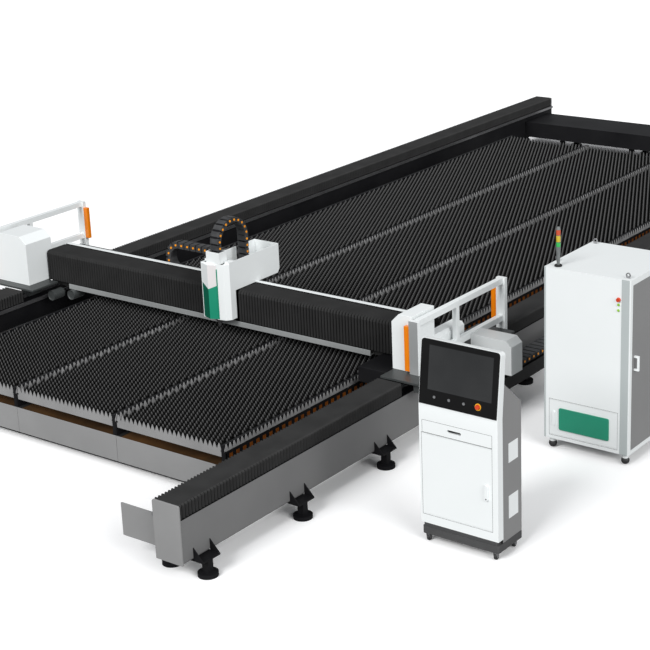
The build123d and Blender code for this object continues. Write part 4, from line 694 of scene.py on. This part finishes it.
# clamps at the front end of every holder, from its right edge
clampShape = {
    "stem": ((-0.016, -0.004, 0.300), (-0.008, 0.004, 0.448)),
    "jaw": ((-0.045, -0.006, 0.440), (0.022, 0.003, 0.450)),
    "droop": 0.016, "edge": 0.001,
}
for number in range(bed["columns"] + 1):
    corner = Vector((slatLow.x + number * columnWide, slatLow.y, 0))
    stem = addBlock("clampStem", *(corner + Vector(p) for p in clampShape["stem"]))
    jaw = addBlock("clampJaw", *(corner + Vector(p) for p in clampShape["jaw"]))
    selectFaces(jaw, lambda c, n: abs(n.x) > 0.9)
    bpy.ops.transform.translate(value=(0, 0, -clampShape["droop"]))
    leaveEdit()
    clamp = joinAll([stem, jaw], "frontClamp" + str(number + 1))
    soften(clamp, clampShape["edge"])
    place(clamp, "machine", "blackPaint", (), "dark_grey_paint")

# black sheet in the gap under the front panel: a painted shadow for the shade under the bed
panelsLow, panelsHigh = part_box("bed_panels")
shadowSheetSize = {"inset": 0.070, "wall": 0.020, "low": 0.006, "ends": 0.05, "lap": 0.002, "edge": 0.003}
shadowSheetFront = panelsLow.y + shadowSheetSize["inset"]
shadowSheet = addBlock("shadowSheetFront", (panelsLow.x + shadowSheetSize["ends"], shadowSheetFront, shadowSheetSize["low"]),
                     (panelsHigh.x - shadowSheetSize["ends"], shadowSheetFront + shadowSheetSize["wall"], panelsLow.z + shadowSheetSize["lap"]))
soften(shadowSheet, shadowSheetSize["edge"])
place(shadowSheet, "machine", "blackPaint", (), "dark_grey_paint")

# windows in the right side of the bed, where the trough shows through
windows = {
    "pitch": 0.0855, "long": 0.042, "low": 0.366, "high": 0.404, "ends": 0.05,
    "sunk": 0.0004, "proud": 0.0012, "rim": 0.004, "rimDepth": -0.0006,
}
paneFront = combLow.y + windows["ends"]
pane = addBlock("sideWindows", (combHigh.x - windows["sunk"], paneFront, windows["low"]),
                (combHigh.x + windows["proud"], paneFront + windows["long"], windows["high"]))
selectFaces(pane, lambda c, n: n.x > 0.9)
bpy.ops.mesh.inset(thickness=windows["rim"], depth=windows["rimDepth"])
leaveEdit()
windowsLong = combHigh.y - combLow.y - 2 * windows["ends"]
repeatPiece(pane, int(windowsLong / windows["pitch"]), (0, windows["pitch"], 0))
place(pane, "machine", "rustGlimpse", (), "slat_steel")
print("holders, clamps and windows set")

# cable chains: one link, laid along its runs

chainLink = {
    "pitchFill": 1.06, "plate": 0.012, "coreSide": 0.006, "coreTop": 0.004,
    "slabBack": 0.46, "slabFront": 0.40, "rim": 0.10, "rimDepth": -0.0015,
    "lidSide": 0.012, "lidBack": 0.40, "lidFront": 0.36, "lidDepth": 0.003,
    "lidProud": 0.001, "dot": 0.011, "dotThick": 0.005, "dotProud": 0.0015, "dotAhead": 0.05,
}


# along +X on the origin, wide along Y, with dots on the sides given
def makeLink(name, pitch, wide, high, dots):
    long = pitch * chainLink["pitchFill"]
    coreWide, coreHigh = wide / 2 - chainLink["coreSide"], high / 2 - chainLink["coreTop"]
    core = addBlock(name + "Core", (-long / 2, -coreWide, -coreHigh), (long / 2, coreWide, coreHigh))
    parts = []
    for side in (-1, 1):
        y = side * (wide / 2 - chainLink["plate"] / 2)
        cheek = addRound(name + "Cheek", (0, y, 0), high / 2, chainLink["plate"], "Y", 16)
        half = chainLink["plate"] / 2
        slab = addBlock(name + "Slab", (-pitch * chainLink["slabBack"], y - half, -high / 2),
                        (pitch * chainLink["slabFront"], y + half, high / 2))
        selectFaces(slab, lambda c, n: abs(n.y) > 0.9)
        bpy.ops.mesh.inset(thickness=high * chainLink["rim"], depth=chainLink["rimDepth"])
        leaveEdit()
        parts += [cheek, slab]
    lidWide = wide / 2 - chainLink["lidSide"]
    for level in (-high / 2, high / 2):
        lid = addBlock(name + "Lid", (-pitch * chainLink["lidBack"], -lidWide, level - chainLink["lidDepth"]),
                       (pitch * chainLink["lidFront"], lidWide, level + chainLink["lidProud"]))
        parts.append(lid)
    core.data.materials.append(finishes["blackPaint"])
    for part in parts:
        part.data.materials.append(finishes["chainPlastic"])
    link = joinAll([core] + parts, name)
    dotParts = []
    for side in dots:
        middle = (pitch * chainLink["dotAhead"], side * (wide / 2 + chainLink["dotProud"]), 0)
        dot = addRound(name + "Dot", middle, chainLink["dot"], chainLink["dotThick"], "Y", 14)
        dot.data.materials.append(finishes["orangeDot"])
        dotParts.append(dot)
    return joinAll([link] + dotParts, name)


def layLinks(link, name, stations):
    copies = [copyTo(link, m) for m in stations]
    return joinAll(copies, name)


crossLow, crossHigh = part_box("cross_chain")
cross = {
    "wide": 0.090, "high": 0.066, "pitch": 0.0785,
    "reach": 1.08,      # the bend follows the carriage at half its travel
    "half": 20,         # so far apart that the bend moves by half
}
crossY = (crossLow.y + crossHigh.y) / 2
crossTop = crossHigh.z - cross["high"] / 2
crossBottom = crossLow.z + cross["high"] / 2
crossRadius = (crossTop - crossBottom) / 2
crossBend = crossLow.x + crossRadius + cross["high"] / 2
link = makeLink("crossLink", cross["pitch"], cross["wide"], cross["high"], (-1, 1))
runCount = int((crossHigh.x - crossBend) / cross["pitch"])
upperRun = layLinks(link, "crossChainUpper", [
    Matrix.Translation((crossBend + (i + 0.5) * cross["pitch"], crossY, crossTop)) for i in range(runCount)
])
lowerRun = layLinks(link, "crossChainLower", [
    Matrix.Translation((crossBend + (i + 0.5) * cross["pitch"], crossY, crossBottom)) for i in range(runCount)
])
bendLinks = round(pi * crossRadius / cross["pitch"])
bendRun = layLinks(link, "crossChainBend", [
    Matrix.Translation((crossBend, crossY, crossBottom + crossRadius))
    @ Matrix.Rotation(-(i + 0.5) * pi / bendLinks, 4, "Y")
    @ Matrix.Translation((0, 0, crossRadius))
    for i in range(bendLinks)
])
bpy.data.objects.remove(link)
for obj in (upperRun, bendRun, lowerRun):
    fixNormals(obj)
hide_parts("cross_chain")
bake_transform(upperRun)
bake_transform(lowerRun)
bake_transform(bendRun)

archLow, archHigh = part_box("height_chain")
arch = {
    "wide": 0.100, "high": 0.045, "pitch": 0.0640, "frontRise": 0.02, "backFoot": 0.97, "blendInset": 0.03,
}
archX = (archLow.x + archHigh.x) / 2
archRadius = (archHigh.y - archLow.y) / 2 - arch["high"] / 2
archY = (archLow.y + archHigh.y) / 2
archZ = archHigh.z - arch["high"] / 2 - archRadius
link = makeLink("archLink", arch["pitch"], arch["wide"], arch["high"], (-1, 1))
turnLink = Matrix.Rotation(-pi / 2, 4, "Z")      # link runs along Y now, its dots face along X
stations = []
archCount = round(pi * archRadius / arch["pitch"])
for i in range(archCount):
    stations.append(
        Matrix.Translation((archX, archY, archZ))
        @ Matrix.Rotation(pi / 2 - (i + 0.5) * pi / archCount, 4, "X")
        @ Matrix.Translation((0, 0, archRadius)) @ turnLink
    )
upright = Matrix.Rotation(pi / 2, 4, "X") @ turnLink
archFront, archBack = archY - archRadius, archY + archRadius
for y, foot in ((archFront, archLow.z + arch["frontRise"]), (archBack, arch["backFoot"])):
    i = 0
    while archZ - (i + 1) * arch["pitch"] > foot:
        stations.append(Matrix.Translation((archX, y, archZ - (i + 0.5) * arch["pitch"])) @ upright)
        i += 1
heightRun = layLinks(link, "heightChain", stations)
bpy.data.objects.remove(link)
fixNormals(heightRun)
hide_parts("height_chain")
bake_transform(heightRun)

railChainLow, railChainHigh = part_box("rail_chain")
railChain = {
    "wide": 0.168, "high": 0.052, "pitch": 0.080, "half": 0.0275,
    "returnLong": 1.76, "returnLinks": 22, "bendLinks": 3,
}
link = makeLink("railLink", railChain["pitch"], railChain["wide"], railChain["high"], (1,))
moveMesh(link, Matrix.Rotation(-pi / 2, 4, "Z"))
chainX = (railChainLow.x + railChainHigh.x) / 2
chainTop = railChainHigh.z - railChain["half"]
chainLower = railChainLow.z + railChain["half"]
chainRadius = (chainTop - chainLower) / 2
chainBendY = railChainHigh.y - chainRadius - railChain["half"]
runCount = int((chainBendY - railChainLow.y) / railChain["pitch"])
moveMesh(link, Matrix.Translation((chainX, railChainLow.y + railChain["pitch"] / 2, chainTop)))
returnShift = chainBendY - railChain["returnLong"] - railChainLow.y
lowerRail = copyTo(link, Matrix.Translation((0, returnShift, chainLower - chainTop)))
repeatPiece(lowerRail, railChain["returnLinks"], (0, railChain["pitch"], 0))
bendRail = [
    copyTo(link, Matrix.Translation((0, chainBendY, (chainTop + chainLower) / 2))
           @ Matrix.Rotation(-(i + 0.5) * pi / railChain["bendLinks"], 4, "X")
           @ Matrix.Translation((0, 0, chainRadius))
           @ Matrix.Translation((0, -railChainLow.y - railChain["pitch"] / 2, -chainTop)))
    for i in range(railChain["bendLinks"])
]
repeatPiece(link, runCount, (0, railChain["pitch"], 0))
railRun = joinAll([link], "railChainUpper")
fixNormals(railRun)
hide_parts("rail_chain")
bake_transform(railRun)
returnRun = joinAll([lowerRail] + bendRail, "railChainLower")
fixNormals(returnRun)
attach(returnRun, "machine")
print("chains laid")

# folded front panel of the cutting carriage, in two paints, each with a darker copy on one facet as painted
# shade

panelLow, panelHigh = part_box("front_panel")
nose = {"ridge": 0.038, "ridgeShare": 0.57, "split": 0.635, "rise": 0.042, "slope": 0.45, "lap": 0.004}
ridgeX = panelLow.x + (panelHigh.x - panelLow.x) * nose["ridgeShare"]
front = addBlock("frontPanel", panelLow + Vector((0, nose["ridge"], 0)),
                 panelHigh + Vector((0, nose["lap"], 0)))
selectFaces(front, lambda c, n: n.y < -0.9)
bpy.ops.mesh.bisect(plane_co=(ridgeX, 0, 0), plane_no=(1, 0, 0))
leaveEdit()
enterEdit(front, "VERT")
shape = bmesh.from_edit_mesh(front.data)
for vertex in shape.verts:
    vertex.select_set(abs(vertex.co.x - ridgeX) < 0.001 and vertex.co.y < panelHigh.y + 0.001)
bmesh.update_edit_mesh(front.data)
bpy.ops.transform.translate(value=(0, -nose["ridge"], 0))
bpy.ops.mesh.select_all(action="SELECT")
splitZ = panelLow.z + (panelHigh.z - panelLow.z) * nose["split"]
bpy.ops.mesh.bisect(plane_co=(ridgeX, 0, splitZ - nose["rise"]), plane_no=(-nose["slope"], 0, 1))
bpy.ops.mesh.select_all(action="SELECT")
bpy.ops.mesh.bisect(plane_co=(ridgeX, 0, splitZ - nose["rise"]), plane_no=(nose["slope"], 0, 1))
leaveEdit()
for finish in ("greenPaint", "greenPaintedShade", "blushWhitePaintedShade", "whitePaint"):
    front.data.materials.append(finishes[finish])
# green below the V, white above; one facet of each gets a darker copy as painted shade, the green left of the
# ridge and the white right of it
for face in front.data.polygons:
    rise = abs(face.center.x - ridgeX) * nose["slope"]
    above = face.center.z > splitZ - nose["rise"] + rise
    face.material_index = 2 * above + (face.center.x < ridgeX)
place(front, "carriage", None, ("front_panel",), "green_paint")

edgeStrip = {"lap": 0.002, "ahead": 0.003, "wide": 0.010, "behind": 0.002, "short": 0.04, "edge": 0.001}
edgeFront = panelLow.y + nose["ridge"] - edgeStrip["ahead"]
sliver = addBlock(
    "greenEdge", (panelHigh.x - edgeStrip["lap"], edgeFront, panelLow.z),
    (panelHigh.x + edgeStrip["wide"], panelHigh.y + edgeStrip["behind"], panelHigh.z - edgeStrip["short"]),
)
soften(sliver, edgeStrip["edge"])
place(sliver, "carriage", "greenPaint", (), "green_paint")
print("carriage front made")

# operator console: display, ring, side plates, keyhole

consoleLow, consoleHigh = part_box("console_front")
screen = {      # in the leaning frame of the screen's panel
    "base": 1.140, "lean": 0.12364, "left": 0.080, "right": 0.055, "low": 0.130, "high": 0.472,
    "front": -0.0095, "back": -0.0065, "rim": 0.004, "rimDepth": -0.001, "edge": 0.001,
}
screenFrame = (
    Matrix.Translation((consoleLow.x, consoleLow.y, screen["base"]))
    @ Matrix.Rotation(-screen["lean"], 4, "X")
)
consoleWide = consoleHigh.x - consoleLow.x
display = addBlock("displayGlass", (screen["left"], screen["front"], screen["low"]),
                   (consoleWide - screen["right"], screen["back"], screen["high"]))
selectFaces(display, lambda c, n: n.y < -0.9)
bpy.ops.mesh.inset(thickness=screen["rim"], depth=screen["rimDepth"])
leaveEdit()
soften(display, screen["edge"])
moveMesh(display, screenFrame)
place(display, "machine", "displayGlass", (), "screen_plastic")

stopPlate = {"place": (0.528, -0.0098, 0.080), "radius": 0.027, "thick": 0.0036, "rim": 0.006, "edge": 0.0008}
ring = addRound("stopRing", stopPlate["place"], stopPlate["radius"], stopPlate["thick"], "Y", 32)
selectFaces(ring, lambda c, n: n.y < -0.9)
bpy.ops.mesh.inset(thickness=stopPlate["rim"], depth=-0.001)
leaveEdit()
soften(ring, stopPlate["edge"])
moveMesh(ring, screenFrame)
place(ring, "machine", "yellowPlastic", (), "orange_strip")

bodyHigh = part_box("console_body")[1]
plates = {
    "front": 0.155, "back": 0.287, "spans": ((0.300, 0.485), (0.755, 0.910)),
    "sunk": 0.0005, "proud": 0.0025, "rim": 0.006, "edge": 0.0008,
}
for number, (low, high) in enumerate(plates["spans"], start=1):
    plateFront, plateBack = consoleLow.y + plates["front"], consoleLow.y + plates["back"]
    plate = addBlock("sidePlate" + str(number), (bodyHigh.x - plates["sunk"], plateFront, low),
                     (bodyHigh.x + plates["proud"], plateBack, high))
    selectFaces(plate, lambda c, n: n.x > 0.9)
    bpy.ops.mesh.inset(thickness=plates["rim"], depth=-0.0008)
    leaveEdit()
    soften(plate, plates["edge"])
    place(plate, "machine", "whitePaint", (), "white_paint")

lockLow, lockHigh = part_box("door_lock")
lockFace = {"radius": 0.0055, "thick": 0.003, "ahead": 0.0004, "rise": 0.016, "edge": 0.0006}
keyPlace = ((lockLow.x + lockHigh.x) / 2, lockLow.y - lockFace["ahead"], lockLow.z + lockFace["rise"])
keyhole = addRound("lockKeyhole", keyPlace, lockFace["radius"], lockFace["thick"], "Y", 20)
soften(keyhole, lockFace["edge"])
place(keyhole, "lock", "baseGrey", (), "dark_grey_paint")
print("console dressed")

# electrical cabinet: corner post, frame strip, green panel, lamp, grip

cabLow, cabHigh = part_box("cabinet_body")
accessLow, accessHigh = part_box("access_door")
cabinet = {
    "low": 0.100, "high": 1.645, "sunk": 0.001,
    "postLeft": 0.084, "postRight": 0.012, "postProud": 0.002, "postEdge": 0.001,
    "stripWide": 0.016, "stripLap": 0.0005, "stripProud": 0.0012, "stripEdge": 0.0008,
    "panelLeft": 0.097, "panelRight": 0.077, "panelLow": 0.064, "panelHigh": 0.069,
    "panelFront": 0.0205, "panelBack": 0.0085, "panelCorner": 0.016, "panelEdge": 0.002,
    "gripLeft": 0.043, "gripRight": 0.050, "gripLow": 0.262, "gripHigh": 0.300,
    "gripFront": 0.0042, "gripBack": 0.0030, "gripCorner": 0.003,
}
post = addBlock(
    "cornerPost", (cabHigh.x - cabinet["postLeft"], cabLow.y - cabinet["postProud"], cabinet["low"]),
    (cabHigh.x - cabinet["postRight"], cabLow.y + cabinet["sunk"], cabinet["high"]),
)
soften(post, cabinet["postEdge"])
place(post, "machine", "cornerGrey", (), "white_paint")
leftPost = addBlock(
    "cornerStrip", (cabLow.x - cabinet["stripLap"], cabLow.y - cabinet["stripProud"], cabinet["low"]),
    (cabLow.x + cabinet["stripWide"], cabLow.y + cabinet["sunk"], cabinet["high"]),
)
soften(leftPost, cabinet["stripEdge"])
place(leftPost, "machine", "cornerGrey", (), "white_paint")
panelLeft, panelRight = accessLow.x + cabinet["panelLeft"], accessHigh.x - cabinet["panelRight"]
greenPanel = addBlock(
    "accessPanel", (panelLeft, accessHigh.y - cabinet["panelFront"], accessLow.z + cabinet["panelLow"]),
    (panelRight, accessHigh.y - cabinet["panelBack"], accessHigh.z - cabinet["panelHigh"]),
)
roundCorners(greenPanel, cabinet["panelCorner"])
soften(greenPanel, cabinet["panelEdge"])
place(greenPanel, "access", "greenPaint", (), "green_paint")

lampLow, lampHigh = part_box("signal_lamp")
lampX, lampY = (lampLow.x + lampHigh.x) / 2, (lampLow.y + lampHigh.y) / 2
lampParts = [      # radius below, radius above, low, high, finish
    (0.034, 0.030, 0.000, 0.014, "darkSteel"), (0.013, 0.019, 0.014, 0.150, "lampGrey"),
    (0.020, 0.020, 0.150, 0.170, "lampGrey"), (0.019, 0.019, 0.171, 0.208, "lampGreen"),
    (0.019, 0.019, 0.214, 0.266, "lampYellow"), (0.019, 0.019, 0.272, 0.316, "lampRed"),
    (0.020, 0.014, 0.318, 0.341, "lampGrey"), (0.0165, 0.0165, 0.160, 0.330, "lampGrey"),
]
pieces = []
for radius, upper, low, high, finish in lampParts:
    tier = addRound("tier", (lampX, lampY, lampLow.z + (low + high) / 2), radius, high - low, "Z", 28)
    selectFaces(tier, lambda c, n: n.z > 0.9)
    bpy.ops.transform.resize(value=(upper / radius, upper / radius, 1), center_override=(lampX, lampY, 0))
    leaveEdit()
    soften(tier, 0.0012)
    tier.data.materials.append(finishes[finish])
    pieces.append(tier)
lamp = joinAll(pieces, "signalTower")
place(lamp, "machine", None, ("signal_lamp",), "lamp_plastic")

gripLeft, gripRight = accessLow.x + cabinet["gripLeft"], accessLow.x + cabinet["gripRight"]
gripShade = addBlock(
    "accessGripShade", (gripLeft, cabLow.y - cabinet["gripFront"], cabinet["gripLow"]),
    (gripRight, cabLow.y - cabinet["gripBack"], cabinet["gripHigh"]),
)
roundCorners(gripShade, cabinet["gripCorner"])
place(gripShade, "access", "darkSteel", (), "dark_grey_paint")
print("cabinet dressed")

# dark seams round the drawer and doors

seam = {"wide": 0.0022, "sunk": 0.0015, "proud": 0.0002}      # so flat that the lock's handle swings over it
for name, node, front in (
    ("drawerSeam", "keyboard_drawer", consoleLow.y),
    ("doorSeam", "console_door", consoleLow.y),
    ("accessSeam", "access_door", cabLow.y),
):
    low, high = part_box(node)
    left, right = low.x - seam["wide"], high.x + seam["wide"]
    y0, y1 = front - seam["proud"], front + seam["sunk"]
    strips = [
        addBlock("seamLow", (left, y0, low.z - seam["wide"]), (right, y1, low.z)),
        addBlock("seamHigh", (left, y0, high.z), (right, y1, high.z + seam["wide"])),
        addBlock("seamLeft", (left, y0, low.z), (low.x, y1, high.z)),
        addBlock("seamRight", (high.x, y0, low.z), (right, y1, high.z)),
    ]
    outline = joinAll(strips, name)
    place(outline, "machine", "darkSteel", (), "dark_grey_paint")

# black blocks of the drive under the beam ends, between bed and rail

driveBlock = {
    "low": 0.495, "high": 0.640, "front": -3.870, "back": -3.474,
    "right": 2.262, "wide": 0.300, "edge": 0.008,
}
blockRight = railMiddle + driveBlock["right"]
block = addBlock(
    "driveBlockRight", (blockRight - driveBlock["wide"], driveBlock["front"], driveBlock["low"]),
    (blockRight, driveBlock["back"], driveBlock["high"]),
)
soften(block, driveBlock["edge"])
place(block, "gantry", "blackPaint", (), "dark_grey_paint")
driveMotor = {
    "places": ((-2.09, -3.62), (-1.93, -3.50)), "height": 0.555, "radius": 0.052, "long": 0.150,
    "rim": 0.014, "rimDepth": -0.010, "edge": 0.004,
}
motors = []
for x, y in driveMotor["places"]:
    middle = (railMiddle + x, y, driveMotor["height"])
    motor = addRound("driveMotor", middle, driveMotor["radius"], driveMotor["long"], "Y", 28)
    selectFaces(motor, lambda c, n: n.y < -0.9)
    bpy.ops.mesh.inset(thickness=driveMotor["rim"], depth=driveMotor["rimDepth"])
    leaveEdit()
    soften(motor, driveMotor["edge"])
    motors.append(motor)
place(joinAll(motors, "driveMotors"), "gantry", "slatePaint", (), "dark_grey_paint")
print("seams and drives added")
